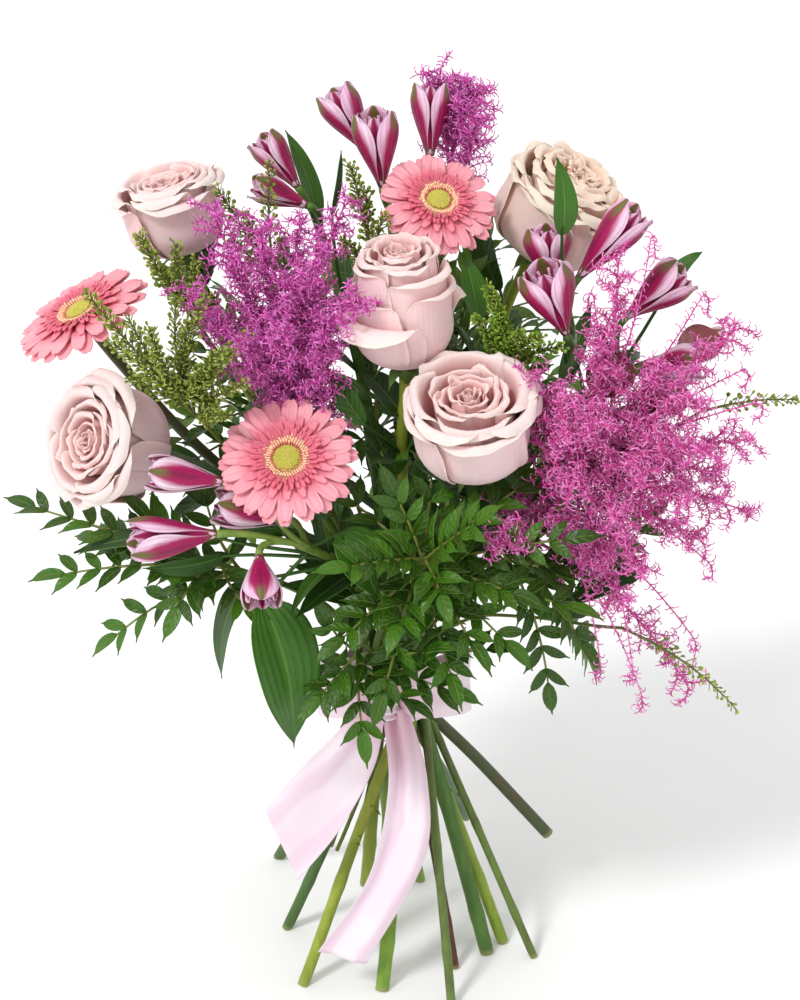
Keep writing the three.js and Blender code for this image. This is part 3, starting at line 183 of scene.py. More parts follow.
class Growth:
    """Gathers the skins of one piece, with the numbers that its finish reads at each point."""

    def __init__(self, name, seed=1):
        self.name = name
        self.random = random.Random(seed)
        self.points = []
        self.quads = []
        self.marks = []
        self.count = 0

    def add(self, points, quads, marks):
        points = points.reshape(-1, 3)
        columns = [np.broadcast_to(mark, points.shape[:1]) for mark in marks]
        self.points.append(points)
        self.quads.append(quads.reshape(-1, 4) + self.count)
        self.marks.append(np.stack(columns, axis=1))
        self.count += len(points)

    def shell(self, points, thick=0.5, place=0.0, chance=None):
        """A thin leaf or petal over a grid of places: its two faces and its rim."""
        rows, columns = points.shape[:2]
        chance = self.random.random() if chance is None else chance
        normal = unit(np.cross(np.gradient(points, axis=1), np.gradient(points, axis=0)))
        along = np.repeat(np.linspace(0, 1, rows), columns)
        across = np.tile(np.linspace(-1, 1, columns), rows)
        place = np.broadcast_to(place, (rows, columns)).reshape(-1)
        at = np.arange(rows * columns).reshape(rows, columns)
        front = np.stack([at[:-1, :-1], at[:-1, 1:], at[1:, 1:], at[1:, :-1]], axis=-1).reshape(-1, 4)
        back = front[:, ::-1] + rows * columns
        loop = np.concatenate([at[0, :-1], at[:-1, -1], at[-1, :0:-1], at[:0:-1, 0]])
        ahead = np.roll(loop, -1)
        rim = np.stack([loop, loop + rows * columns, ahead + rows * columns, ahead], axis=-1)
        both = np.stack([points + normal * thick / 2, points - normal * thick / 2])
        sides = np.repeat([0.0, 1.0], rows * columns)
        marks = [np.tile(along, 2), np.tile(across, 2), np.tile(place, 2), chance, sides]
        self.add(both, np.concatenate([front, back, rim]), marks)

    def rods(self, paths, radii, sides=6, place=0.0, chance=None, capped=True):
        """Round rods along paths (which, step, xyz); those that end in a point need no cap."""
        paths = np.asarray(paths, float)
        if paths.ndim == 2:
            paths = paths[None]
        radii = np.broadcast_to(radii, paths.shape[:2])
        ways = unit(np.gradient(paths, axis=1))
        side = unit(np.cross(ways, (0.31, 0.22, 0.92)))
        other = np.cross(ways, side)
        if capped:
            ends = (0, 0), (1, 1), (0, 0)
            paths, side, other = (np.pad(part, ends, "edge") for part in (paths, side, other))
            radii = np.pad(radii, ((0, 0), (1, 1)))
        turn = all_round(sides)[:, None]
        ring = side[:, :, None] * np.cos(turn) + other[:, :, None] * np.sin(turn)
        points = paths[:, :, None] + ring * radii[..., None, None]
        many, steps = paths.shape[:2]
        at = np.arange(many * steps * sides).reshape(many, steps, sides)
        onward = np.roll(at, -1, axis=2)
        quads = np.stack([at[:, :-1], onward[:, :-1], onward[:, 1:], at[:, 1:]], axis=-1)
        along = np.broadcast_to(np.linspace(0, 1, steps)[None, :, None], at.shape).reshape(-1)
        if chance is None:
            chance = [self.random.random() for _ in range(many)]
        chance = np.broadcast_to(np.reshape(chance, (-1, 1, 1)), at.shape).reshape(-1)
        across = np.broadcast_to(np.cos(turn).reshape(1, 1, -1), at.shape).reshape(-1)
        self.add(points, quads, [along, across, place, chance, 0.0])

    def made(self, finish, slot, *nodes):
        """The piece as an object in metres, in the place of its CAD nodes."""
        points = np.concatenate(self.points) * METRES
        points[:, 2] = np.maximum(points[:, 2], 0)
        quads = np.concatenate(self.quads)
        marks = np.concatenate(self.marks)
        mesh = bpy.data.meshes.new(self.name)
        mesh.vertices.add(len(points))
        mesh.vertices.foreach_set("co", points.reshape(-1))
        mesh.loops.add(quads.size)
        mesh.loops.foreach_set("vertex_index", quads.reshape(-1).astype(np.int32))
        mesh.polygons.add(len(quads))
        mesh.polygons.foreach_set("loop_start", np.arange(0, quads.size, 4, dtype=np.int32))
        mesh.update(calc_edges=True)
        for k, mark in enumerate(MARKS):
            layer = mesh.attributes.new(mark, "FLOAT", "POINT")
            layer.data.foreach_set("value", marks[:, k].astype(np.float32))
        mesh.shade_smooth()
        mesh.validate()
        mesh.materials.append(finish)
        piece = bpy.data.objects.new(self.name, mesh)
        bpy.context.scene.collection.objects.link(piece)
        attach(piece, "root")
        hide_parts(*nodes)
        return piece


# ---------- finishes ----------
class Wire:
    """A number or a colour that varies over a surface, written with ordinary operators."""

    def __init__(self, finish, socket):
        self.finish = finish
        self.socket = socket

    def sum(self, operation, first, second):
        return self.finish.node("Math", {"operation": operation}, {0: first, 1: second})

    def __add__(self, other):
        return self.sum("ADD", self, other)

    def __sub__(self, other):
        return self.sum("SUBTRACT", self, other)

    def __mul__(self, other):
        return self.sum("MULTIPLY", self, other)

    def __rsub__(self, other):
        return self.sum("SUBTRACT", other, self)

    __radd__ = __add__
    __rmul__ = __mul__

    def between(self, low, high):
        """0 below low, 1 above high and a soft step between them."""
        settings = {"interpolation_type": "SMOOTHSTEP"}
        return self.finish.node("MapRange", settings, {0: self, 1: low, 2: high})

    def wave(self):
        return self.sum("SINE", self, 0.0)

    def size(self):
        return self.sum("ABSOLUTE", self, 0.0)


FLESH = ("Subsurface Weight", "Subsurface Scale", "Subsurface Radius")


class Finish:
    """The finish of a surface: a tree of shader nodes around one shader."""

    def __init__(self, name):
        self.material = bpy.data.materials.new(name)
        self.material.use_nodes = True
        self.tree = self.material.node_tree
        self.tree.nodes.clear()

    def node(self, kind, settings=None, sockets=None, output=0):
        """One node: its type, its settings, then the values or wires of its sockets."""
        made = self.tree.nodes.new("ShaderNode" + kind)
        for name, value in (settings or {}).items():
            setattr(made, name, value)
        for name, value in (sockets or {}).items():
            if isinstance(value, Wire):
                self.tree.links.new(value.socket, made.inputs[name])
            else:
                made.inputs[name].default_value = value
        return Wire(self, made.outputs[output]) if made.outputs else None

    def mark(self, name):
        return self.node("Attribute", {"attribute_name": name}, output="Fac")

    def marks(self, *names):
        return [self.mark(name) for name in names]

    def speckle(self, scale, detail=3.0, stretch=(1, 1, 1)):
        """Noise over the object, 0 to 1; scale is in features for each metre."""
        where = self.node("TexCoord", output="Object")
        if stretch != (1, 1, 1):
            sockets = {0: where, 1: stretch}
            where = self.node("VectorMath", {"operation": "MULTIPLY"}, sockets)
        return self.node("TexNoise", {}, {"Vector": where, "Scale": scale, "Detail": detail})

    def blend(self, factor, first, second):
        """From the first colour to the second as factor goes from 0 to 1."""
        first, second = (c if isinstance(c, Wire) else (*c, 1) for c in (first, second))
        return self.node("Mix", {"data_type": "RGBA"}, {0: factor, 6: first, 7: second}, output=2)

    def bump(self, height, distance):
        sockets = {"Height": height, "Distance": distance, "Strength": 1.0}
        return self.node("Bump", {}, sockets)

    def surface(self, colour, roughness, normal=None, flesh=(), **constants):
        """Ends the tree in its shader, and sets constants on the shader's own sockets.

        flesh is how much light goes in under the skin, how far, and how far in each colour.
        """
        sockets = {"Base Color": colour, "Roughness": roughness}
        if normal:
            sockets["Normal"] = normal
        sockets.update(zip(FLESH, flesh))
        for name, value in constants.items():
            sockets[name.replace("_", " ")] = value
        shader = self.node("BsdfPrincipled", {"subsurface_method": "RANDOM_WALK"}, sockets)
        self.node("OutputMaterial", {}, {"Surface": shader})
        return self.material


def tint(red, green, blue):
    """A colour as the eye names it, 0 to 255, in the light's own measure."""
    return tuple((c / 255) ** 2.2 for c in (red, green, blue))


def rose_finish(name, skin, pale, heart, fold, rim):
    """skin is the outside of a petal; its inside goes from pale at the rim of the bloom to heart. fold
    is painted shade, low on the petals, more on their insides and in the inner rings.
    """
    f = Finish(name)
    along, across, place = f.marks("along", "across", "place")
    cloud = f.speckle(60)
    inside = f.mark("inside").between(0.4, 0.6)
    inner = f.blend(place.between(0.1, 0.75), pale, heart)
    colour = f.blend(inside, f.blend(place.between(0.2, 0.8), skin, heart), inner)
    # Painted shade: the fold colour deep in the cup, low on each petal, more on its inside and in the
    # inner rings.
    deep = (1 - along.between(0.35, 0.8)) * (0.12 + inside * 0.6)
    colour = f.blend(deep * place.between(-0.2, 0.4), colour, fold)
    colour = f.blend((cloud - 0.5).between(0.0, 0.3) * 0.2, colour, heart)
    edge = along.between(0.88, 1.0) + across.size().between(0.86, 1.0) * along * 0.5
    colour = f.blend((edge * (0.85 - place * 0.5)).between(0, 1), colour, rim)
    veins = (across * 70 + cloud * 5).wave() * along.between(0, 0.5)
    normal = f.bump(veins * 0.3 + f.speckle(900, 2) * 0.5, 0.00012)
    return f.surface(colour, 0.5 + cloud * 0.15, normal, (0.3, 0.005, (1.0, 0.55, 0.45)),
                     Specular_IOR_Level=0.3, Sheen_Weight=0.1)


def gerbera_finish():
    """Deep at the root of a ray and in the inner rings, pale at the tips, with fine grooves."""
    f = Finish("gerbera_rays_finish")
    along, across, place, chance = f.marks("along", "across", "place", "chance")
    tip = f.blend(chance, tint(254, 182, 192), tint(252, 158, 174))
    tip = f.blend(place.between(0.3, 0.95), tip, tint(240, 92, 124))
    base = f.blend(place, tint(240, 92, 126), tint(212, 40, 88))
    colour = f.blend(along.between(0.25, 0.7 + 0.2 * place), base, tip)
    streak = (across * 17 + f.speckle(200) * 2).wave()
    colour = f.blend(streak.between(0.4, 1.0) * (1 - along * 0.7) * 0.35, colour, tint(228, 80, 112))
    colour = f.blend(f.mark("inside").between(0.4, 0.6) * 0.4, colour, tint(240, 150, 160))
    groove = (across * 9).wave()
    normal = f.bump(groove * 0.8 + f.speckle(1500, 2) * 0.3, 0.0002)
    return f.surface(colour, 0.45 + f.speckle(300) * 0.15, normal, (0.2, 0.003, (1.0, 0.4, 0.35)),
                     Specular_IOR_Level=0.35)


def disc_finish():
    """Green-yellow buds in the middle, and pink florets with cream mouths round them."""
    f = Finish("gerbera_disc_finish")
    along, place, chance = f.marks("along", "place", "chance")
    middle = f.blend(chance, tint(222, 210, 110), tint(196, 194, 84))
    outer = f.blend(along.between(0.4, 0.85), tint(240, 140, 130), tint(252, 230, 178))
    colour = f.blend(place, middle, outer)
    normal = f.bump(f.speckle(2500, 2), 0.0002)
    return f.surface(colour, 0.6 + f.speckle(400) * 0.2, normal, (0.1, 0.002))


def tepal_finish():
    """Pale lilac with a magenta rib, a dark throat, and a green keel and foot."""
    f = Finish("alstroemeria_finish")
    along, across, place = f.marks("along", "across", "place")
    cloud = f.speckle(120)
    lilac = f.blend(f.mark("chance"), tint(247, 224, 236), tint(240, 198, 224))
    colour = f.blend(cloud.between(0.3, 0.7) * 0.4, lilac, tint(228, 150, 198))
    middle = across.size() + cloud * 0.2 - 0.1
    rib = 1 - (middle + along * 0.85).between(0.86, 1.2)
    colour = f.blend(rib, colour, tint(166, 16, 88))
    heart = (1 - across.size().between(0.06, 0.3)) * along.between(0.2, 0.4)
    colour = f.blend(heart * 0.55, colour, tint(104, 12, 54))
    keel = (1 - across.size().between(0.08, 0.34)) * along.between(0.62, 0.84)
    colour = f.blend(keel * place * 0.9, colour, tint(96, 112, 46))
    green = 1 - along.between(0.02, 0.14)
    colour = f.blend(green, colour, tint(120, 100, 50))
    streak = (across * 26 + cloud * 3).wave()
    colour = f.blend(streak.between(0.6, 1) * 0.3, colour, tint(130, 20, 80))
    normal = f.bump(streak * 0.5 + f.speckle(1200, 2) * 0.4, 0.00018)
    return f.surface(colour, 0.4 + cloud * 0.15, normal, (0.15, 0.003, (1.0, 0.3, 0.5)),
                     Specular_IOR_Level=0.4)


def plume_finish(name, shade, body, light):
    """Dyed hairs on a green stalk: each hair between painted shade and the dyed body colour, with
    painted highlight at their ends and in patches.
    """
    f = Finish(name)
    along, chance, place = f.marks("along", "chance", "place")
    # Painted shade: each hair picked at random between the shade colour and the body colour.
    colour = f.blend(chance.between(0.1, 0.9), shade, body)
    # Painted highlight at the ends of the hairs, then in patches of noise.
    painted_tip_highlight = along.between(0.3, 1) * place + (chance - 0.6) * 0.8
    colour = f.blend(painted_tip_highlight.between(0, 1), colour, light)
    colour = f.blend(f.speckle(260).between(0.45, 0.75) * 0.5, colour, light)
    colour = f.blend(place.between(0.02, 0.15), tint(104, 104, 52), colour)
    normal = f.bump(f.speckle(3000, 2), 0.0002)
    return f.surface(colour, 0.6 + f.speckle(500) * 0.2, normal, (0.1, 0.002, (1.0, 0.3, 0.8)),
                     Sheen_Weight=0.2)


def leaf_finish(name, upper, lower, rib, ribs, gloss):
    """A leaf whose veins run with it (ribs across its width) or out from its midrib (ribs along it)."""
    f = Finish(name)
    along, across, place, chance = f.marks("along", "across", "place", "chance")
    cloud = f.speckle(90)
    dark = tuple(c * 0.42 for c in upper)
    colour = f.blend((chance * 0.8 + cloud * 0.4).between(0.2, 1.0), dark, upper)
    colour = f.blend(f.mark("inside").between(0.4, 0.6) * 0.8, colour, lower)
    if ribs > 0:
        vein = (across * ribs).wave()
    else:
        vein = (along * -ribs - across.size() * -ribs * 0.35).wave()
    middle = 1 - across.size().between(0.015, 0.08)
    line = vein.between(0.75, 1.0) * 0.22 + middle * 0.5
    colour = f.blend(line.between(0, 1), colour, rib)
    colour = f.blend(place, colour, rib)
    height = vein * 0.25 - middle * 0.8 + f.speckle(700, 3) * 0.5
    normal = f.bump(height, 0.0004)
    return f.surface(colour, gloss + cloud * 0.18, normal, (0.06, 0.002, (0.4, 1.0, 0.2)),
                     Specular_IOR_Level=0.4)


def pod_finish(name, shade, body, light):
    """Flat pods with a light rim, on green stalks."""
    f = Finish(name)
    chance, place = f.marks("chance", "place")
    colour = f.blend(chance, shade, body)
    rim = f.mark("across").size().between(0.75, 1.0)
    colour = f.blend((rim * 0.6 + (chance - 0.7) * 0.8).between(0, 1), colour, light)
    colour = f.blend(place, colour, tint(104, 112, 46))
    normal = f.bump(f.speckle(1800, 2), 0.0002)
    return f.surface(colour, 0.5 + f.speckle(300) * 0.2, normal, (0.1, 0.002, (0.6, 1.0, 0.2)))


def stem_finish(name, skin, shade):
    """Blotched skin with fibres that run along it, pale where the stem is cut, and a green cup."""
    f = Finish(name)
    along, chance, place = f.marks("along", "chance", "place")
    fibre = f.speckle(260, 4, (1, 1, 0.08))
    blotch = f.speckle(45, 3)
    colour = f.blend((fibre * 0.6 + blotch * 0.7).between(0.45, 0.85), skin, shade)
    colour = f.blend(place, colour, f.blend(chance, tint(78, 108, 44), tint(96, 128, 56)))
    wood = 1 - along.between(0.004, 0.02)
    colour = f.blend(wood * (1 - place), colour, tint(178, 172, 120))
    normal = f.bump(fibre + f.speckle(700, 2) * 0.3, 0.0005)
    return f.surface(colour, 0.42 + blotch * 0.2, normal, (0.05, 0.002, (0.5, 1.0, 0.2)))


def satin_finish():
    """Fine weave with a shine, soft bands of painted shade as from folds, and pinker where it is tied.
    """
    f = Finish("satin_finish")
    along, across = f.marks("along", "across")
    thread = (across * 260).wave() * 0.5 + (along * 900).wave() * 0.5
    cloud = f.speckle(25, 2)
    # Painted shade in soft bands across and along the ribbon, as from its folds.
    painted_fold_shade = (across * 5 + along * 3 + cloud * 4).wave().between(0.1, 1)
    colour = f.blend(cloud.between(0.3, 0.7), tint(243, 226, 236), tint(238, 216, 229))
    colour = f.blend(painted_fold_shade * 0.55, colour, tint(224, 190, 210))
    colour = f.blend((1 - along.between(0.02, 0.4)) * 0.75, colour, tint(236, 182, 202))
    selvedge = across.size().between(0.93, 0.97)
    colour = f.blend(selvedge * 0.4, colour, tint(250, 226, 238))
    normal = f.bump(thread * 0.15 + f.speckle(120, 2) * 0.8, 0.00015)
    return f.surface(colour, 0.3 + cloud * 0.12, normal, (0.1, 0.002, (1.0, 0.6, 0.8)),
                     Sheen_Weight=0.3, Sheen_Roughness=0.3, Anisotropic=0.4)


def twine_finish():
    """Coarse brown fibre."""
    f = Finish("twine_finish")
    fibre = f.speckle(900, 3, (1, 1, 3))
    colour = f.blend(fibre.between(0.3, 0.7), tint(176, 150, 110), tint(120, 96, 62))
    normal = f.bump(fibre, 0.0004)
    return f.surface(colour, 0.8 + fibre * 0.15, normal)


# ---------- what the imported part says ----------
CAD = {}


def corners(node):
    """A node's points and triangles, in millimetres."""
    if node not in CAD:
        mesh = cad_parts[node].data
        mesh.calc_loop_triangles()
        points = np.empty(len(mesh.vertices) * 3)
        mesh.vertices.foreach_get("co", points)
        threes = np.empty(len(mesh.loop_triangles) * 3, dtype=np.int32)
        mesh.loop_triangles.foreach_get("vertices", threes)
        CAD[node] = points.reshape(-1, 3) / METRES, threes.reshape(-1, 3)
    return CAD[node]


def step_to(node, place, reach=2.6, span=60):
    """How much deeper than the picture's place the node really has it."""
    points = corners(node)[0] - EYE
    line = unit(at_depth(place) - EYE)
    far = points @ line
    miss = np.linalg.norm(points - far[:, None] * line, axis=1)
    expected = np.linalg.norm(at_depth(place) - EYE)
    score = miss + abs(far - expected) * 0.03
    score[(miss > reach) | (abs(far - expected) > span)] = np.inf
    best = np.argmin(score)
    if not np.isfinite(score[best]):
        return 0.0
    return (far[best] - expected) * line[1]


def deeper(place, step):
    """Where a place on the photograph is, a step further off."""
    return at_depth((place[0], place[1], place[2] + step))


def section(points, threes, at, way, reach):
    """The middle of what a plane cuts out of a mesh near a place."""
    above = (points - at) @ way
    sides = above[threes]
    cut = (sides.min(axis=1) < 0) & (sides.max(axis=1) >= 0)
    ends = []
    for a, b in ((0, 1), (1, 2), (2, 0)):
        p, q = threes[cut, a], threes[cut, b]
        split = above[p] * above[q] < 0
        share = above[p][split] / (above[p][split] - above[q][split])
        ends.append(points[p[split]] + (points[q[split]] - points[p[split]]) * share[:, None])
    ends = np.concatenate(ends)
    ends = ends[np.linalg.norm(ends - at, axis=1) < reach]
    if len(ends) < 3:
        return None
    return (ends.min(axis=0) + ends.max(axis=0)) / 2


# Places on the middle line of a stem.
ON_STEM = 48
# How far each step goes along it.
PACE = 7


def walk(node, top, radius):
    """The middle line of a stem, from its cut end to its head, as the node has it."""
    points, threes = corners(node)
    foot = points[points[:, 2] < points[:, 2].min() + 0.5].mean(axis=0)
    way = unit(WAIST + UP * TIE - foot)
    path = [foot]
    for _ in range(90):
        guess = path[-1] + way * PACE
        left = top - guess
        if np.linalg.norm(left) < 12 or left @ way < 0:
            break
        found = section(points, threes, guess, way, radius * 1.9 + 1.5)
        if found is None:
            found = guess + unit(left) * 1.5
        way = unit(way * 0.35 + unit(found - path[-1]) * 0.65)
        path.append(found)
    path = evened(np.array(path + [top]), ON_STEM)
    for _ in range(4):
        path[1:-1] = (path[:-2] + path[1:-1] * 2 + path[2:]) / 4
    return path


# ---------- stems ----------
# [head on the picture, the way it faces there, radius, skin, shade]
GREEN = tint(96, 128, 48)
STEMS = {
    "rose_front": [(473, 462, -72), (95, 46), 3.6, tint(84, 112, 52), tint(66, 92, 44)],
    "rose_middle": [(404, 362, -42), (93, 30), 3.8, tint(150, 160, 52), tint(120, 140, 44)],
    "rose_left": [(152, 450, -32), (172, 47), 3.4, tint(116, 140, 112), tint(96, 122, 86)],
    "rose_upper_left": [(184, 252, 20), (104, 26), 3.5, tint(150, 172, 56), tint(124, 148, 48)],
    "rose_upper_right": [(533, 250, 50), (57, 32), 3.4, tint(150, 162, 54), tint(122, 140, 44)],
    "gerbera_front": [(288, 462, -84), (100, 68), 3.2, tint(130, 160, 60), tint(104, 136, 52)],
    "gerbera_top": [(437, 206, 6), (72, 58), 3, tint(128, 158, 58), tint(104, 134, 50)],
    "gerbera_left": [(84, 318, -14), (120, 32), 3.6, tint(66, 84, 50), tint(84, 74, 42)],
    "alstroemeria_top": [(392, 215, 42), (95, 5), 4, tint(122, 158, 46), tint(98, 134, 42)],
    "alstroemeria_upper_left": [(318, 232, 48), (115, 5), 4.2, tint(84, 122, 44), tint(66, 100, 38)],
    "alstroemeria_upper_right": [(574, 330, -12), (95, 5), 3.2, tint(80, 110, 52), tint(62, 90, 42)],
    "alstroemeria_right": [(622, 372, 8), (55, 5), 3, GREEN, tint(78, 104, 42)],
    "alstroemeria_left": [(300, 545, -86), (168, 20), 3.2, tint(126, 152, 62), tint(100, 126, 50)],
    "plume_left": [(292, 392, -40), None, 2.4],
    "plume_right": [(578, 462, -58), None, 2.4],
    "plume_top": [(452, 158, 66), None, 1.8],
    "smoke_bush": [(605, 470, -16), None, 2.2],
    "pennycress_far_left": [(182, 402, -66), None, 1.7],
    "pennycress_left": [(178, 300, -26), None, 1.75],
    "pennycress_upper_left": [(262, 262, 10), None, 1.6],
    "pennycress_top": [(368, 240, 16), None, 1.5],
    "pennycress_right": [(502, 364, -42), None, 1.6],
    "pennycress_far_right": [(700, 412, 14), None, 1.5],
    "pennycress_low_right": [(622, 628, -40), None, 1.5],
    "mastic_left": [(205, 560, -62), None, 2.2],
    "mastic_front": [(425, 560, -100), None, 2.6],
    "mastic_low": [(356, 655, -74), None, 1.9],
    "mastic_right": [(520, 560, -60), None, 2.6],
    "mastic_back": [(450, 350, 84), None, 2.6],
    "mastic_back_left": [(300, 390, 84), None, 2.4],
}
# How far above the twine a stem is free of the bunch.
FREE_FROM = 26


class Stem:
    """A stem's line with its head, read off its node."""

    def __init__(self, name, head, faces, radius, skin=GREEN, shade=GREEN):
        self.name = name
        self.node = name + "_stem" if faces else name
        self.radius = radius
        self.colours = skin, shade
        self.top = at_depth(head)
        self.way = facing(*faces) if faces else unit(self.top - WAIST - UP * (TIE + 40))
        self.path = walk(self.node, self.top, radius)
        self.free = self.path[self.path[:, 2] > TIE + FREE_FROM]

    def at(self, share):
        """A place on the free stretch above the binding, and the way that it runs there."""
        line = evened(self.free, 40)
        steps = len(line) - 1
        k = min(int(share * steps), steps - 1)
        return mix(line[k], line[k + 1], share * steps - k), unit(line[k + 1] - line[k])

    def radii(self):
        """Its radius along the path, a little less at the head."""
        return mix(self.radius, self.radius * 0.8, ease(np.linspace(0, 1, len(self.path))))

    def finish(self):
        return stem_finish(self.name + "_stem_finish", *self.colours)


stems = {name: Stem(name, *row) for name, row in STEMS.items()}


def grow_shaft(growth, stem, knots, thorny=False):
    """The stem itself: slightly uneven, with its joints, and thorns on a rose."""
    along = np.linspace(0, 1, 2 * ON_STEM)
    path = evened(stem.path, len(along))
    radii = np.interp(along, np.linspace(0, 1, ON_STEM), stem.radii())
    for k in range(knots):
        at = (k + growth.random.uniform(0.3, 0.7)) / knots
        radii = radii * (1 + 0.13 * np.exp(-(((along - at) * 90) ** 2)))
    growth.rods(path, radii, 12)
    if not thorny:
        return
    for _ in range(9):
        k = growth.random.randrange(6, 90)
        out = unit(np.cross(path[k + 1] - path[k], facing(growth.random.uniform(0, 360), 20)))
        root = path[k] + out * radii[k] * 0.8
        tip = root + out * 3.2 - unit(path[k + 1] - path[k]) * 1.6
        growth.rods([root, mix(root, tip, 0.5), tip], [1.5, 0.7, 0.1], 6, chance=0.4)


# ---------- leaves ----------
def grow_blade(growth, spine, across, width, outline, fold, thick, rows, columns, wave=0.0,
               place=0.0):
    """A leaf over its spine: outline gives its half width along it, fold lifts its two sides."""
    line = through(spine, rows + 1)
    s, t = weave(rows, columns)
    ways = unit(np.gradient(line, axis=0))
    side = unit(across - ways * (ways @ across)[:, None])
    out = np.cross(side, ways)
    half = (outline(t) * width / 2)[..., None]
    swing = growth.random.uniform(0, 6)
    ripple = wave * np.sin(t * 9 + swing + s * 1.5) * abs(s) * width / 2
    raised = abs(s) * fold * half[..., 0] + ripple
    points = line[:, None] + side[:, None] * s[..., None] * half + out[:, None] * raised[..., None]
    growth.shell(points, thick, place)


def lance(t):
    """The outline of a long leaf: widest below its middle, with a drawn-out point."""
    return np.clip(np.sin(np.pi * np.clip(t, 0, 1) ** 0.72) ** 0.8, 0.035, 1)


def oval(t):
    """The outline of a rounder leaf."""
    return np.clip(np.sin(np.pi * np.clip(t, 0, 1) ** 0.9) ** 0.62, 0.06, 1)


def grow_leaf(growth, stem, share, root, tip, width, faces, sag, outline):
    """A leaf where the node has it, with its stalk from the stem."""
    step = step_to(stem.node, tip)
    root, tip = deeper(root, step), deeper(tip, step)
    face = facing(*faces)
    length = np.linalg.norm(tip - root)
    middle = mix(root, tip, 0.5) + face * length * sag
    across = unit(np.cross(tip - root, face))
    start = stem.at(share)[0]
    arc = bent(root, middle * 2 - mix(root, tip, 0.5), tip, 9)
    growth.rods(through([start, mix(start, root, 0.6) - face * 1.5, arc[0], arc[1]], 10),
                np.linspace(1.2, 0.7, 10), 7, chance=0.6)
    grow_blade(growth, arc, across, width, outline, 0.22, 0.5, 22, 11, 0.05)


# Rows that follow a stem's name: [share of the free stem where the stalk leaves it, root, tip, width,
# the way that the upper side looks, sag].
LEAVES = {
    "alstroemeria_upper_left": [
        [0.9, (318, 222, 44), (285, 130, 52), 15, (10, 45), 0.06],
        [0.8, (332, 215, 30), (341, 150, 44), 5, (10, 40), 0.04],
    ],
    "alstroemeria_upper_right": [
        [0.9, (562, 236, -34), (557, 158, -24), 15, (350, 60), 0.1],
        [0.7, (478, 322, -20), (462, 252, -6), 17, (20, 55), 0.05],
    ],
    "alstroemeria_right": [
        [0.9, (672, 282, 20), (702, 252, 26), 12, (120, 40), 0.08],
        [0.7, (612, 372, -4), (640, 352, 20), 14, (90, 40), 0.08],
    ],
    "alstroemeria_left": [
        [0.94, (262, 602, -90), (294, 746, -78), 43, (20, 58), 0.1],
        [0.76, (246, 582, -74), (222, 678, -58), 19, (160, 45), 0.1],
        [0.96, (338, 534, -96), (376, 598, -98), 32, (60, 50), 0.12],
        [0.86, (208, 536, -72), (74, 553, -56), 19, (95, 40), 0.06],
        [0.91, (236, 488, -84), (152, 476, -92), 12, (95, 50), 0.1],
        [0.81, (224, 556, -70), (142, 568, -72), 15, (280, 40), 0.06],
    ],
    "rose_front": [[0.75, (575, 600, -50), (650, 568, -44), 24, (100, 45), 0.1]],
    "rose_middle": [[0.7, (365, 425, -60), (332, 374, -50), 14, (150, 50), 0.08]],
    "rose_upper_left": [[0.85, (205, 285, 24), (212, 232, 34), 17, (200, 50), 0.1]],
    "rose_upper_right": [[0.8, (500, 290, 30), (484, 222, 36), 20, (200, 40), 0.1]],
    "gerbera_top": [[0.5, (428, 640, -62), (468, 664, -84), 16, (60, 40), 0.1]],
    "alstroemeria_top": [],
    "rose_left": [],
}


def clothe(growth, stem, count, length, width, outline):
    """Leaves all round a stem's free stretch, which the node leaves out."""
    pick = growth.random.uniform
    for k in range(count):
        root, way = stem.at(mix(0.12, 0.86, (k + pick(0, 0.7)) / count))
        out = spin(way, k * GOLDEN + pick(-0.4, 0.4))
        far = length * pick(0.75, 1.2)
        tip = root + (way * pick(0.5, 0.95) + out * 0.75) * far - UP * far * 0.12
        middle = mix(root, tip, 0.5) + way * far * 0.12
        across = unit(np.cross(tip - root, way))
        grow_blade(growth, bent(root, middle, tip, 9), across, width * pick(0.8, 1.15), outline,
                   0.25, 0.45, 12, 5, 0.06)


long_leaf = leaf_finish("alstroemeria_leaf_finish", tint(60, 108, 24), tint(104, 144, 70),
                        tint(120, 160, 70), 30, 0.34)
rose_leaf = leaf_finish("rose_leaf_finish", tint(54, 98, 26), tint(104, 136, 80),
                        tint(110, 140, 70), -44, 0.36)
# [finish, outline, leaves all round the stem, their length and width]
LEAF_KINDS = {
    "alstroemeria": [long_leaf, lance, 16, 54, 13],
    "rose": [rose_leaf, oval, 9, 46, 20],
    "gerbera": [rose_leaf, oval, 0, 0, 0],
}
for name, rows in LEAVES.items():
    growth = Growth(name + "_leaves", len(name))
    finish, outline, count, length, width = LEAF_KINDS[name.split("_")[0]]
    for row in rows:
        grow_leaf(growth, stems[name], *row, outline)
    clothe(growth, stems[name], count, length, width, outline)
    growth.made(finish, "leaf", stems[name].node)


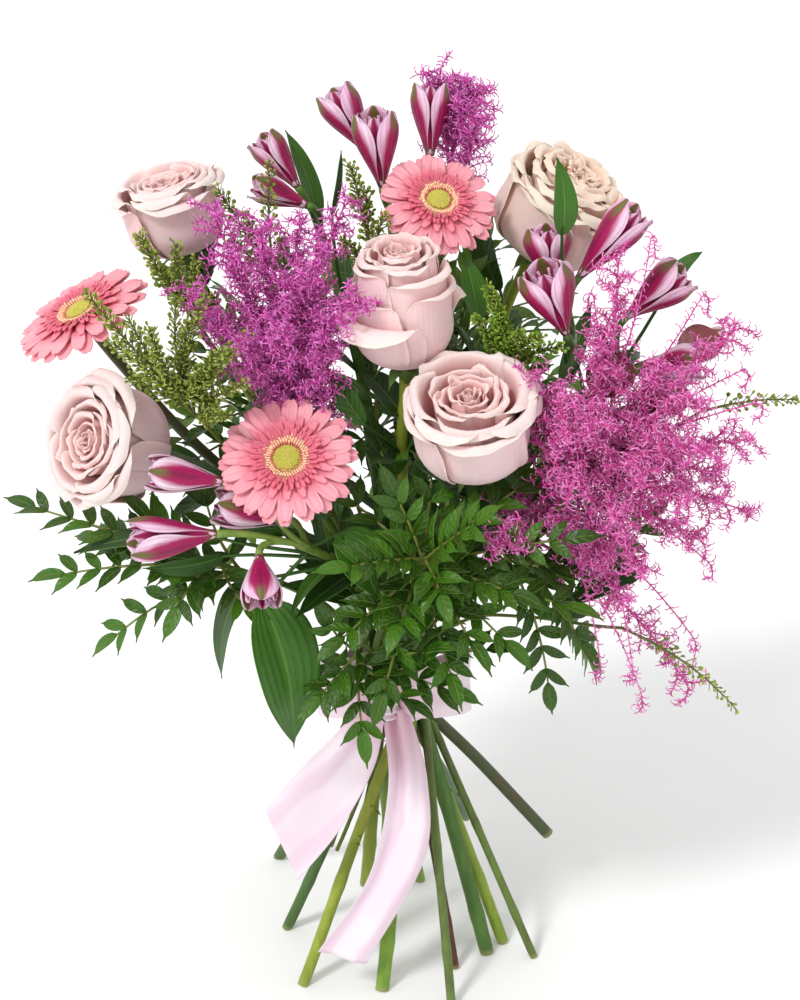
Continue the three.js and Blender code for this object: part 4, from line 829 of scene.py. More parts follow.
# ---------- roses ----------
def rose_petal(growth, local, half, turn, whorl, place, ruffle, droop):
    """One petal: its middle line in shares of the half width, then its spread round the bloom."""
    belly, lip, tall, spread, curl = whorl
    pick = growth.random.uniform
    s, t = weave(23, 17, 0.04)
    keys = [
        (0.08, 0.02),
        (belly * 0.7, tall * 0.12),
        (belly * 0.98, tall * 0.36),
        (mix(belly, lip, 0.3), tall * 0.7),
        (lip, tall * 0.94),
        (lip + 0.08 * curl, tall),
        (lip + 0.17 * curl, tall - 0.04 * curl),
        (lip + 0.22 * curl, tall - 0.14 * curl),
    ]
    stops = np.linspace(0, 1, 60)
    line = through([(r, z, 0) for r, z in keys], len(stops))
    arch = pick(0.08, 0.13) * s * s + pick(0.08, 0.14) * s ** 4
    reach = t * (1 - arch * mix(droop, 0.8, place))
    late = ease((t - 0.45) / 0.55)
    edge = ruffle * late * (0.35 + 0.65 * abs(s))
    broad, fine = np.sin(s * pick(3, 5) + pick(0, 6)), np.sin(s * pick(7, 12) + pick(0, 6))
    wave = edge * (0.026 * broad + 0.018 * fine)
    out = np.interp(reach, stops, line[:, 0]) * (1 + 0.06 * s * mix(0.6, 1, t)) + wave
    height = np.interp(reach, stops, line[:, 1]) + edge * 0.03 * (broad * fine + fine * 0.5)
    narrow = mix(0.45, 1, ease(t / 0.45))
    angle = turn + math.radians(spread) * s * narrow
    points = local(half * out * np.cos(angle), half * out * np.sin(angle), half * height)
    growth.shell(points, 0.42, place)


# Rings of petals from the outside in: [petals, belly, lip, height, spread, curl].
OPEN_BLOOM = [
    [4, 0.82, 0.86, 1.22, 54, 0.7],
    [5, 0.75, 0.79, 1.36, 46, 0.75],
    [4, 0.6, 0.67, 1.42, 58, 0.7],
    [4, 0.46, 0.5, 1.39, 60, 0.5],
    [4, 0.36, 0.35, 1.34, 60, 0.35],
    [3, 0.27, 0.23, 1.35, 72, 0.2],
    [3, 0.19, 0.14, 1.35, 84, 0.05],
    [2, 0.11, 0.06, 1.32, 120, 0.0],
]
FULL_BLOOM = [
    [5, 0.88, 0.9, 1.1, 50, 0.35],
    [5, 0.84, 0.88, 1.22, 46, 0.7],
    [6, 0.74, 0.78, 1.32, 42, 0.8],
    [6, 0.6, 0.64, 1.42, 42, 0.8],
    [5, 0.46, 0.48, 1.48, 48, 0.7],
    [4, 0.34, 0.33, 1.5, 56, 0.5],
    [4, 0.23, 0.2, 1.5, 66, 0.3],
    [3, 0.13, 0.1, 1.46, 90, 0.1],
]
TALL_BUD = [
    [2, 0.78, 0.9, 1.1, 64, 1.25],
    [3, 0.82, 0.8, 1.42, 68, 0.4],
    [3, 0.76, 0.68, 1.8, 70, 0.55],
    [4, 0.65, 0.57, 1.98, 58, 0.55],
    [4, 0.52, 0.45, 2.05, 60, 0.45],
    [4, 0.4, 0.33, 2.07, 62, 0.35],
    [3, 0.28, 0.22, 2.08, 74, 0.2],
    [3, 0.18, 0.13, 2.06, 88, 0.05],
    [2, 0.1, 0.06, 2.03, 120, 0.0],
]
ROSES = {
    "rose_front": dict(width=74, roll=-1.35, rings=OPEN_BLOOM, ruffle=1.6),
    "rose_middle": dict(width=64, roll=3.95, rings=TALL_BUD, ruffle=1.5, step=0.86, droop=3.4),
    "rose_left": dict(width=72, roll=0.7, rings=OPEN_BLOOM, ruffle=1.3),
    "rose_upper_left": dict(width=62, roll=1.7, rings=OPEN_BLOOM, ruffle=1.6),
    "rose_upper_right": dict(width=74, roll=0.1, rings=FULL_BLOOM, ruffle=2.4),
}
# [outside, inside at the rim of the bloom, inside at its heart, painted shade in the folds, rims of the
# petals]
BLUSH = (tint(255, 213, 213), tint(252, 224, 219), tint(255, 212, 208), tint(240, 154, 150),
         tint(245, 236, 216))
CREAM = (tint(255, 215, 204), tint(249, 228, 207), tint(252, 218, 196), tint(236, 176, 152),
         tint(244, 234, 206))


def grow_rose(growth, local, width, roll, rings, ruffle, step=0.43, droop=3.1):
    """Ring after ring of petals, each ring turned by a share of a petal against the one outside it."""
    pick = growth.random.uniform
    for k, (count, belly, lip, tall, spread, curl) in enumerate(rings):
        for i in range(count):
            turn = roll + (i + k * step) * 2 * math.pi / count + pick(-0.16, 0.16)
            grown = pick(0.96, 1.04)
            tallness = tall * pick(0.95, 1.02)
            whorl = belly * grown, lip * grown, tallness, spread, curl * pick(0.6, 1.3)
            place = k / (len(rings) - 1)
            rose_petal(growth, local, width / 2, turn, whorl, place, ruffle, droop)


def grow_bract(growth, local, turn, out, rise, *blade):
    """One narrow green leaf of a cup, at a turn about the bloom's axis."""
    spine = local(out * math.cos(turn), out * math.sin(turn), rise)
    across = local(-math.sin(turn), math.cos(turn), 0) - local(0, 0, 0)
    grow_blade(growth, spine, across, *blade, place=1.0)


def grow_sepals(growth, stem):
    """The green cup under a rose, with five narrow sepals that lie back."""
    local = stand_on(stem.top, stem.way)
    growth.rods(local(0, 0, np.linspace(-12, 0.2, 7)), [2.6, 2.8, 3.6, 5.2, 5.8, 5.6, 3.4], 14,
                place=1.0)
    for i in range(5):
        turn = i * 2 * math.pi / 5 + 0.4
        out = np.array([3.5, 8.5, 13, 16.5])
        rise = np.array([-4, -1.5, -5, -11]) + growth.random.uniform(-1, 1)
        grow_bract(growth, local, turn, out, rise, 6.5, lance, 0.3, 0.5, 8, 3)


for name, shape in ROSES.items():
    stem = stems[name]
    growth = Growth(name + "_petals", 11 + len(name))
    grow_rose(growth, stand_on(stem.top + stem.way * 0.3, stem.way), **shape)
    colours = CREAM if name == "rose_upper_right" else BLUSH
    growth.made(rose_finish(name + "_finish", *colours), "rose_petal", name + "_bloom")
    growth = Growth(name + "_stalk", 3 + len(name))
    grow_shaft(growth, stem, 4, thorny=True)
    grow_sepals(growth, stem)
    growth.made(stem.finish(), "stem", stem.node)


# ---------- gerberas ----------
GERBERAS = {
    "gerbera_front": dict(width=75, roll=0.1),
    "gerbera_top": dict(width=67, roll=0.4),
    "gerbera_left": dict(width=80, roll=0.2),
}
# [rays, reach, half width, height at the root, rise to the tip, place]; reach and half width are
# shares of the bloom's radius.
RAY_RINGS = [
    [20, 1.0, 0.116, 1.5, -1.6, 0.0],
    [20, 0.95, 0.11, 3.0, 0.2, 0.05],
    [16, 0.68, 0.062, 3.9, 1.6, 0.6],
    [36, 0.54, 0.034, 4.6, 2.6, 0.9],
    [42, 0.45, 0.022, 5.0, 3.4, 1.0],
]


def rounded(t, begins, over, least):
    """An outline that stays whole until t reaches begins, and closes in a round end."""
    return np.sqrt(np.clip(1 - ((t - begins) / over).clip(0) ** 2.6, least, 1))


def grow_ray(growth, local, half, turn, reach, wide, foot, rise, place):
    """One ray: blunt and notched at its tip, and hollow along its middle."""
    pick = growth.random.uniform
    reach = reach * pick(0.93, 1.0)
    s, t = weave(10, 5, 0.06) if place < 0.5 else weave(5, 2, 0.06)
    along = mix(0.24, reach, t)
    blunt = mix(0.3, 1, ease(t / 0.55)) * rounded(t, 0.72, 0.29, 0.03)
    notch = 0.02 * (1 - abs(s)) * ease((t - 0.9) / 0.1)
    side = s * wide * blunt * pick(0.9, 1.08) + 0.03 * pick(-1, 1) * t * t
    arch = pick(2, 3.4)
    height = foot + rise * t + arch * t * (1 - t) * 1.6 + pick(-1.2, 1.2) * t * t
    height = height + 3 * wide * (1 - np.cos(s * 1.3)) * (1 - 0.4 * t)
    out = half * (along - notch)
    points = local(out * math.cos(turn) - half * side * math.sin(turn),
                   out * math.sin(turn) + half * side * math.cos(turn), height)
    growth.shell(points, 0.45, place)


# The buds in the middle of a disc, and how far they reach, as a share of the bloom's radius.
BUDS = 190
CORE = 0.17


def grow_disc(growth, local, half):
    """The middle: tight buds in the spiral of a seed head, then rings of open florets."""
    base = local(0, 0, np.array([0.5, 2, 3.4, 4.6, 5.4, 5.8]) + 0.4)
    growth.rods(base, half * np.array([0.2, 0.24, 0.24, 0.2, 0.13, 0.05]), 20)
    buds, feet = [], []
    for k in range(BUDS):
        r = CORE * math.sqrt((k + 0.5) / BUDS)
        turn = k * GOLDEN
        rise = 5.6 + 1.9 * math.cos(r / CORE * 1.25)
        x, y = half * r * math.cos(turn), half * r * math.sin(turn)
        feet.append(local(x, y, rise - 1.2))
        buds.append(local(x * 1.04, y * 1.04, rise + 0.75))
    feet, buds = np.array(feet), np.array(buds)
    paths = np.stack([feet, mix(feet, buds, 0.6), buds], axis=1)
    growth.rods(paths, [0.5, 0.62, 0.15], 5)
    for count, r, height in ((40, 0.195, 1.9), (46, 0.23, 2.3), (52, 0.27, 2.2), (56, 0.3, 1.8)):
        turns = all_round(count) + r * 9
        tilt = np.array([growth.random.uniform(-1, 1) for _ in turns])
        out = half * (r + np.outer([0, 0.02, 0.05, 0.07], np.ones(count)) + 0.012 * tilt)
        rise = 4.6 + np.outer([0, height * 0.6, height, height + 0.6], 1 + 0.15 * tilt)
        florets = local(out * np.cos(turns), out * np.sin(turns), rise)
        growth.rods(florets.transpose(1, 0, 2), [0.55, 0.45, 0.75, 0.3], 5, place=1.0)


def grow_bracts(growth, stem):
    """The green cup under a gerbera, with its rings of small pointed bracts."""
    local = stand_on(stem.top, stem.way)
    growth.rods(local(0, 0, np.linspace(-9, 0.2, 6)), [2.9, 3.6, 5.4, 7, 7.2, 5], 14, place=1.0)
    for ring in range(3):
        for i in range(12):
            turn = (i + ring / 3) * math.pi / 6
            out = np.array([5, 8.2, 11.5 + ring])
            rise = np.array([-7, -3.5, 0.2]) + ring * 0.9 - 0.6
            grow_bract(growth, local, turn, out, rise, 3.4, lance, 0.2, 0.4, 5, 2)


rays_finish, florets_finish = gerbera_finish(), disc_finish()
for name, shape in GERBERAS.items():
    stem = stems[name]
    local = stand_on(stem.top + stem.way * 0.3, stem.way)
    growth = Growth(name + "_ray_petals", 21 + len(name))
    for count, reach, wide, foot, *rest in RAY_RINGS:
        for i in range(count):
            turn = shape["roll"] + (i + growth.random.uniform(-0.18, 0.18)) * 2 * math.pi / count
            grow_ray(growth, local, shape["width"] / 2, turn + foot, reach, wide, foot, *rest)
    growth.made(rays_finish, "gerbera_petal", name + "_rays")
    growth = Growth(name + "_florets", 31 + len(name))
    grow_disc(growth, local, shape["width"] / 2)
    growth.made(florets_finish, "gerbera_disc", name + "_disc")
    growth = Growth(name + "_stalk", 41 + len(name))
    grow_shaft(growth, stem, 0)
    grow_bracts(growth, stem)
    growth.made(stem.finish(), "stem", stem.node)


# ---------- alstroemerias ----------
# [stem, root on the picture, the way that the bloom faces, its length, the width of its mouth]
ALSTROEMERIAS = {
    "alstroemeria_top_a": ["alstroemeria_top", (366, 150, 44), (120, 10), 38, 24],
    "alstroemeria_top_b": ["alstroemeria_top", (382, 186, 24), (97, 22), 42, 26],
    "alstroemeria_top_c": ["alstroemeria_top", (430, 156, 48), (90, 12), 40, 22],
    "alstroemeria_upper_left_a": ["alstroemeria_upper_left", (297, 186, 40), (127, 14), 34, 20],
    "alstroemeria_upper_left_b": ["alstroemeria_upper_left", (306, 205, 26), (160, 14), 32, 17],
    "alstroemeria_upper_right_a": ["alstroemeria_upper_right", (551, 284, -22), (95, 14), 31, 27],
    "alstroemeria_upper_right_b": ["alstroemeria_upper_right", (566, 334, -54), (112, 22), 40, 30],
    "alstroemeria_upper_right_c": ["alstroemeria_upper_right", (580, 276, -20), (49, 14), 48, 23],
    "alstroemeria_right_a": ["alstroemeria_right", (628, 316, 2), (38, 12), 40, 25],
    "alstroemeria_right_b": ["alstroemeria_right", (684, 350, 14), (20, 8), 24, 12],
    "alstroemeria_right_c": ["alstroemeria_right", (640, 372, -14), (10, 10), 34, 22],
    "alstroemeria_left_a": ["alstroemeria_left", (222, 482, -88), (172, 12), 40, 20],
    "alstroemeria_left_b": ["alstroemeria_left", (216, 534, -98), (184, 12), 46, 24],
    "alstroemeria_left_c": ["alstroemeria_left", (290, 520, -76), (168, 16), 42, 22],
    "alstroemeria_left_d": ["alstroemeria_left", (259, 556, -100), (275, 22), 28, 22],
}


def grow_tepal(growth, local, length, mouth, turn, outer):
    """One tepal of the trumpet: the three outer ones are broad, the three inner ones narrow."""
    pick = growth.random.uniform
    s, t = weave(15, 9, 0.05)
    opened = np.sin(np.pi / 2 * np.clip(t * 1.15, 0, 1)) ** 1.3
    cup = mix(2.1, mouth / 2 if outer else mouth * 0.37, opened)
    cup = cup * (1 - (0.14 if outer else 0.05) * ease((t - 0.72) / 0.28))
    reach = mix(0.03, 1.0 if outer else 0.96, t)
    wide = mix(38, 58, ease(t / 0.6)) if outer else mix(26, 38, ease(t / 0.6))
    angle = turn + np.radians(wide * rounded(t, 0.6, 0.41, 0.02) * s)
    wave = 0.5 * np.sin(s * 4 + pick(0, 6)) * ease((t - 0.6) / 0.4)
    cup = cup * (1 + 0.05 * s * s * ease(t)) + wave
    height = length * (reach - 0.03 * s * s)
    growth.shell(local(cup * np.cos(angle), cup * np.sin(angle), height), 0.5, float(outer))


def grow_alstroemeria(growth, local, length, mouth):
    """A bloom: its foot, two whorls of tepals, and the stamens."""
    growth.rods(local(0, 0, np.array([0, 1.5, 3.5, 5.5, 7]) * length / 40),
                [2.0, 2.7, 2.9, 2.6, 2.0], 10, chance=0.5)
    for i in range(3):
        turn = (2 * i + 1) * math.pi / 3 - math.pi / 2
        grow_tepal(growth, local, length, mouth, turn, True)
        grow_tepal(growth, local, length, mouth, turn + math.pi / 3, False)
    turns = all_round(6)
    out = np.outer([0.5, 1.4, mouth * 0.14, mouth * 0.2], np.ones(6))
    rise = np.outer([0.2, 0.5, 0.78, 0.9], np.ones(6)) * length
    stamens = local(out * np.cos(turns), out * np.sin(turns), rise)
    growth.rods(stamens.transpose(1, 0, 2), [0.4, 0.35, 0.3, 0.9], 6, chance=0.9)


petals_finish = tepal_finish()
for name, (owner, root, faces, length, mouth) in ALSTROEMERIAS.items():
    growth = Growth(name + "_tepals", 7 + len(name))
    grow_alstroemeria(growth, stand_on(at_depth(root), facing(*faces)), length, mouth)
    growth.made(petals_finish, "alstroemeria_petal", name)
for owner in dict.fromkeys(row[0] for row in ALSTROEMERIAS.values()):
    stem = stems[owner]
    growth = Growth(owner + "_stalk", 5 + len(owner))
    grow_shaft(growth, stem, 6)
    for root, faces, length in [row[1:4] for row in ALSTROEMERIAS.values() if row[0] == owner]:
        base, way = at_depth(root), facing(*faces)
        start = stem.top - stem.way * 7
        far = np.linalg.norm(base - start)
        keys = [start, start + stem.way * far * 0.3, base - way * far * 0.4, base - way * 0.3]
        radii = np.interp(np.linspace(0, 1, 14), [0, 0.5, 1], [1.9, 1.5, 2.2])
        growth.rods(swept(keys, len(radii)), radii, 9)
    growth.made(stem.finish(), "stem", stem.node)


# ---------- side shoots ----------
def shoot(stem, share, tip, count, added=False):
    """The curve of a side shoot to a place on the picture, bowed as its node has it."""
    start, way = stem.at(share)
    tip = deeper(tip, 0 if added else step_to(stem.node, tip))
    far = np.linalg.norm(tip - start)
    if added:
        return bent(start, mix(start, tip, 0.35) + way * far * 0.22, tip, count)
    points = corners(stem.node)[0]
    best = None
    for bow in (0, 1, -1):
        bend = mix(start, tip, 0.35) + way * far * 0.22 + AHEAD * far * 0.2 * bow
        curve = bent(start, bend, tip, count)
        tried = [curve[int(count * t)] for t in (0.5, 0.7, 0.85)]
        miss = sum(np.linalg.norm(points - at, axis=1).min() for at in tried)
        if best is None or miss < best[0]:
            best = miss, curve
    return best[1]


# ---------- mastic ----------
# [share, tip on the picture, pairs of leaflets, the way that their tops look]
FRONDS = {
    "mastic_left": [
        [1, (36, 508, -46), 6, (100, 45)],
        [0.9, (66, 574, -60), 6, (95, 50)],
        [0.8, (118, 634, -52), 5, (95, 50)],
    ],
    "mastic_front": [
        [1, (352, 566, -128), 6, (90, 60)],
        [1, (474, 524, -124), 6, (90, 60)],
        [0.92, (508, 592, -118), 7, (80, 60)],
        [0.84, (345, 636, -112), 6, (90, 55)],
        [0.72, (450, 672, -110), 6, (80, 50)],
    ],
    "mastic_low": [
        [1, (322, 694, -84), 5, (90, 60)],
        [0.9, (362, 728, -84), 4, (90, 60)],
        [0.78, (446, 690, -76), 5, (70, 60)],
    ],
    "mastic_right": [
        [1, (608, 556, -44), 6, (80, 45)],
        [0.93, (572, 500, -84), 6, (80, 45)],
        [0.84, (580, 640, -58), 6, (60, 50)],
    ],
    "mastic_back": [
        [1, (480, 250, 92), 7, (90, -50)],
        [0.92, (560, 380, 98), 6, (60, -50)],
        [0.8, (440, 400, 118), 6, (60, -50)],
    ],
    "mastic_back_left": [
        [1, (228, 320, 84), 7, (110, -50)],
        [0.92, (320, 300, 104), 6, (90, -60)],
        [0.8, (250, 470, 98), 6, (90, -60)],
    ],
}
# Shoots that the node leaves out: [share, tip on the picture]; those of the back look away.
MORE_FRONDS = {
    "mastic_left": [
        [1, (150, 520, -66)], [0.95, (180, 604, -74)], [0.85, (170, 566, -30)],
        [0.9, (244, 604, -80)], [0.8, (206, 500, -30)], [0.9, (100, 540, -20)],
    ],
    "mastic_front": [
        [0.95, (398, 500, -92)], [0.9, (432, 468, -62)], [1, (440, 592, -126)],
        [0.88, (562, 540, -104)], [0.8, (400, 622, -120)], [0.85, (504, 640, -112)],
        [0.7, (384, 690, -108)], [0.95, (524, 484, -80)], [0.9, (350, 500, -70)],
        [0.8, (566, 606, -98)], [0.86, (470, 640, -124)],
        [0.8, (376, 440, -40)],
    ],
    "mastic_low": [
        [1, (404, 700, -94)], [0.9, (330, 626, -90)], [0.85, (424, 652, -108)], [0.8, (486, 650, -70)],
    ],
    "mastic_right": [
        [1, (644, 520, -20)], [0.9, (562, 470, -50)], [0.8, (548, 682, -46)],
        [0.8, (524, 420, -30)], [0.9, (590, 660, -10)], [0.75, (500, 560, -20)],
    ],
    "mastic_back": [
        [1, (540, 300, 84)], [0.9, (400, 290, 92)], [0.95, (604, 430, 60)], [0.85, (524, 500, 96)],
        [0.9, (366, 344, 50)], [0.8, (384, 480, 112)], [0.9, (444, 334, 30)], [0.85, (504, 404, 50)],
        [1, (434, 256, 76)], [0.9, (480, 270, 20)], [0.8, (600, 520, 70)], [0.75, (470, 560, 100)],
        [0.8, (372, 404, 26)], [0.75, (352, 446, 16)], [0.85, (424, 440, 36)], [0.8, (396, 476, 10)],
        [0.9, (544, 396, 36)], [0.92, (566, 330, 44)], [0.85, (520, 330, 30)], [0.7, (440, 520, 0)],
    ],
    "mastic_back_left": [
        [1, (284, 264, 84)], [0.9, (184, 420, 66)], [0.85, (344, 420, 108)], [0.9, (264, 384, 96)],
        [0.8, (324, 520, 104)], [1, (206, 350, 50)], [0.95, (330, 334, 34)], [0.9, (160, 380, 20)],
        [0.8, (300, 430, 10)], [0.75, (240, 540, 70)], [0.85, (210, 470, 40)], [0.8, (336, 476, 0)],
        [0.85, (206, 430, 0)], [0.8, (176, 474, 0)], [0.9, (300, 300, 20)], [0.92, (226, 300, 30)],
    ],
}
LEAFLET_LONG = 24
LEAFLET_WIDE = 8.2
# How far a pair of leaflets opens from the frond's midrib, in degrees.
SPLAY = 58
# A shoot that reaches this far back belongs to the back of the bouquet.
BACK = 60


def grow_leaflet(growth, root, way, face, length, width):
    """One leaflet, arched a little over its midrib."""
    across = unit(np.cross(way, face))
    droop = growth.random.uniform(-0.06, 0.1)
    middle = root + way * length * 0.5 + face * length * 0.07
    spine = [root, middle, root + way * length - face * length * droop]
    grow_blade(growth, spine, across, width, oval, growth.random.uniform(0.15, 0.4), 0.4, 7, 3)


def grow_frond(growth, curve, pairs, face):
    """A midrib with its leaflets in pairs, and one at its end."""
    pick = growth.random.uniform
    ways = unit(np.gradient(curve, axis=0))
    growth.rods(curve, np.linspace(1.2, 0.55, len(curve)), 6, place=1.0)
    for k in range(pairs):
        t = mix(0.24, 0.93, k / (pairs - 1))
        at = int(t * (len(curve) - 1))
        way = ways[at]
        top = unit(face - way * (face @ way))
        side = np.cross(way, top)
        for sense in (1, -1):
            splay = math.radians(SPLAY + pick(-9, 9) - 14 * t)
            out = way * math.cos(splay) + side * sense * math.sin(splay) + top * pick(-0.05, 0.3)
            size = mix(1, 0.78, t) * pick(0.86, 1.06)
            tilt = unit(top + side * sense * pick(-0.35, 0.35))
            length, width = LEAFLET_LONG * size, LEAFLET_WIDE * size
            grow_leaflet(growth, curve[at], unit(out), tilt, length, width)
    tilt = unit(face - ways[-1] * (face @ ways[-1]))
    grow_leaflet(growth, curve[-1], ways[-1], tilt, LEAFLET_LONG * 0.95, LEAFLET_WIDE)


BARK = tint(96, 46, 32), tint(66, 34, 24)
TWIG = tint(96, 122, 50), tint(84, 92, 44)
mastic_finish = leaf_finish("mastic_leaf_finish", tint(66, 112, 22), tint(112, 142, 60),
                            tint(120, 130, 58), -30, 0.3)
for name, rows in FRONDS.items():
    stem = stems[name]
    growth = Growth(name + "_spray", 9 + len(name))
    for share, tip, pairs, looks in rows:
        grow_frond(growth, shoot(stem, share, tip, 40), pairs, facing(*looks))
    for share, tip in MORE_FRONDS[name]:
        aside = growth.random.uniform(50, 130)
        looks = facing(aside, -50 if tip[2] > BACK else growth.random.uniform(35, 65))
        curve = shoot(stem, share, tip, 40, added=True)
        pairs = max(4, round(np.linalg.norm(curve[-1] - curve[0]) / 14))
        grow_frond(growth, curve, min(pairs, 9), looks)
    growth.made(mastic_finish, "leaf", name)
    growth = Growth(name + "_shaft", 9)
    grow_shaft(growth, stem, 6)
    colours = BARK if name == "mastic_right" else TWIG
    growth.made(stem_finish(name + "_shaft_finish", *colours), "leaf", name)


# ---------- plumes ----------
# [share, tip on the picture]
PLUMES = {
    "plume_left": [
        [1, (262, 228, -34)], [0.92, (345, 205, -20)], [0.84, (212, 212, -28)],
        [0.68, (190, 290, -50)], [0.96, (358, 300, -66)], [0.76, (240, 340, -76)],
        [0.6, (318, 356, -70)], [0.88, (300, 280, -56)],
    ],
    "plume_right": [
        [1, (735, 330, -40)], [0.94, (618, 262, -64)], [0.88, (745, 440, -66)],
        [0.82, (700, 540, -76)], [0.7, (622, 598, -84)], [0.91, (530, 380, -84)],
        [0.97, (660, 440, -100)], [0.76, (565, 430, -110)], [0.6, (690, 690, -50)],
    ],
    "plume_top": [[1, (470, 96, 66)], [0.93, (440, 78, 62)], [0.86, (478, 124, 50)]],
}
# Branches that the node leaves out.
MORE_PLUMES = {
    "plume_left": [
        [0.9, (230, 262, -40)], [0.95, (320, 250, -50)], [0.85, (280, 330, -76)],
        [0.7, (324, 336, -60)], [0.8, (210, 320, -40)], [0.9, (300, 225, -30)],
    ],
    "plume_right": [
        [0.98, (602, 330, -70)], [0.9, (572, 480, -104)], [0.85, (622, 520, -108)],
        [0.9, (684, 500, -98)], [0.8, (642, 566, -98)], [0.95, (716, 474, -88)],
        [0.93, (592, 420, -108)], [0.97, (694, 400, -86)], [0.86, (742, 510, -70)],
        [1, (660, 372, -70)], [0.75, (600, 560, -90)], [0.7, (560, 520, -88)],
        [0.9, (640, 470, -112)], [0.88, (700, 450, -104)], [0.84, (566, 400, -90)],
        [0.68, (500, 544, -112)],
    ],
    "plume_top": [[0.95, (456, 108, 58)]],
}
# Long thin strands that curl over beyond the mass.
STRANDS = {
    "plume_left": [[1, (222, 208, -20)]],
    "plume_right": [
        [0.9, (632, 662, -74)], [0.8, (600, 660, -84)], [1, (738, 372, -50)], [1, (700, 300, -40)],
        [0.95, (650, 244, -60)], [0.9, (752, 404, -60)], [0.75, (692, 636, -60)],
        [0.7, (640, 690, -60)], [0.96, (594, 300, -70)], [0.85, (706, 560, -70)],
    ],
    "plume_top": [],
}


def curl_off(growth, start, way, out, length, curls, count=9):
    """A thin twig that leaves a way towards out, and curls over at its end."""
    pick = growth.random.uniform
    t = np.linspace(0, 1, count)[:, None]
    side = unit(np.cross(way, out))
    swing = out * np.sin(t * curls) + way * np.cos(t * curls * 0.9) * 0.9
    swing = swing + side * pick(-0.4, 0.4) * t
    steps = unit(swing) * length / (count - 1)
    return start + np.concatenate([np.zeros((1, 3)), np.cumsum(steps[:-1], axis=0)])


# The radius of a hair from bead to bead.
HAIR = np.array([0.22, 0.42, 0.26, 0.46, 0.24, 0.42, 0.1])


def grow_hairs(growth, lines, fuzz):
    """Beaded hairs all round thin lines."""
    pick = growth.random.uniform
    hairs = []
    for line in lines:
        runs = unit(np.gradient(line, axis=0))
        last = len(line) - 1
        for j in range(fuzz):
            m = min(int(mix(0.16 * last, last + 0.9, (j + pick(0, 0.8)) / fuzz)), last)
            away = spin(runs[m], j * GOLDEN + pick(-0.5, 0.5))
            length, curls = pick(3.5, 9.0), pick(1.6, 4.4)
            hairs.append(curl_off(growth, line[m], runs[m], away, length, curls, len(HAIR)))
    growth.rods(np.array(hairs), HAIR, 3, place=1.0, capped=False)


def grow_plume(growth, curve, twigs, reach, fuzz):
    """One feathered branch: twigs along it, each with its beaded hairs."""
    pick = growth.random.uniform
    ways = unit(np.gradient(curve, axis=0))
    growth.rods(curve, np.linspace(1.2, 0.4, len(curve)), 5, place=0.2, chance=0.5)
    lines = []
    for k in range(twigs):
        t = mix(0.22, 1, (k + pick(0, 0.6)) / twigs)
        at = min(int(t * (len(curve) - 1)), len(curve) - 1)
        out = spin(ways[at], k * GOLDEN + pick(-0.4, 0.4))
        length = reach * mix(1.2, 0.5, t) * pick(0.7, 1.25)
        lines.append(curl_off(growth, curve[at], ways[at], out, length, pick(0.9, 2.4)))
    growth.rods(np.array(lines), np.linspace(0.5, 0.3, 9), 4, place=0.6, capped=False)
    grow_hairs(growth, lines, fuzz)


def grow_strand(growth, curve):
    """A single long strand with hairs, which hooks over at its tip."""
    way = unit(curve[-1] - curve[-3])
    hook = curl_off(growth, curve[-1], way, unit(-UP + way * 0.2), 14, 3.4, 12)
    line = np.concatenate([curve, hook[1:]])
    growth.rods(line, np.linspace(0.6, 0.3, len(line)), 4, place=0.6)
    grow_hairs(growth, [line[8:]], 60)


# How many branches one piece of a plume holds.
BRANCHES = 8
# Each set: painted shade, the dyed body colour, painted highlight.
MAGENTA = tint(178, 34, 136), tint(232, 60, 186), tint(255, 138, 228)
ROSY = tint(204, 36, 142), tint(246, 76, 184), tint(255, 156, 222)
for name, rows in PLUMES.items():
    stem = stems[name]
    finish = plume_finish(name + "_finish", *(ROSY if name == "plume_right" else MAGENTA))
    growth = Growth(name + "_stalk", 13)
    growth.rods(stem.path, stem.radii() * 0.8, 7, place=0.0, chance=0.2)
    for share, tip in STRANDS[name]:
        grow_strand(growth, shoot(stem, share, tip, 40, added=True))
    growth.made(finish, "plume", name)
    curves = [shoot(stem, share, tip, 40) for share, tip in rows]
    curves += [shoot(stem, share, tip, 40, added=True) for share, tip in MORE_PLUMES[name]]
    for part in range(0, len(curves), BRANCHES):
        growth = Growth(f"{name}_feathers_{part // BRANCHES + 1}", 13 + part)
        for curve in curves[part:part + BRANCHES]:
            grow_plume(growth, curve, 28, 26, 24)
        growth.made(finish, "plume", name)


# ---------- pennycress ----------
# [share, tip on the picture, pods]
RACEMES = {
    "pennycress_upper_left": [[1, (218, 190, 2), 60], [0.9, (270, 160, 16), 44]],
    "pennycress_left": [[1, (140, 236, -22), 70], [0.9, (196, 262, -40), 60]],
    "pennycress_far_left": [
        [1, (86, 292, -84), 90], [0.97, (150, 330, -88), 90], [0.95, (232, 352, -92), 80],
    ],
    "pennycress_top": [[1, (350, 165, 8), 60], [0.9, (384, 216, -12), 44]],
    "pennycress_right": [[1, (488, 288, -62), 110], [1, (540, 338, -70), 70]],
    "pennycress_far_right": [[1, (798, 400, 6), 34]],
    "pennycress_low_right": [[1, (738, 712, -42), 34]],
}
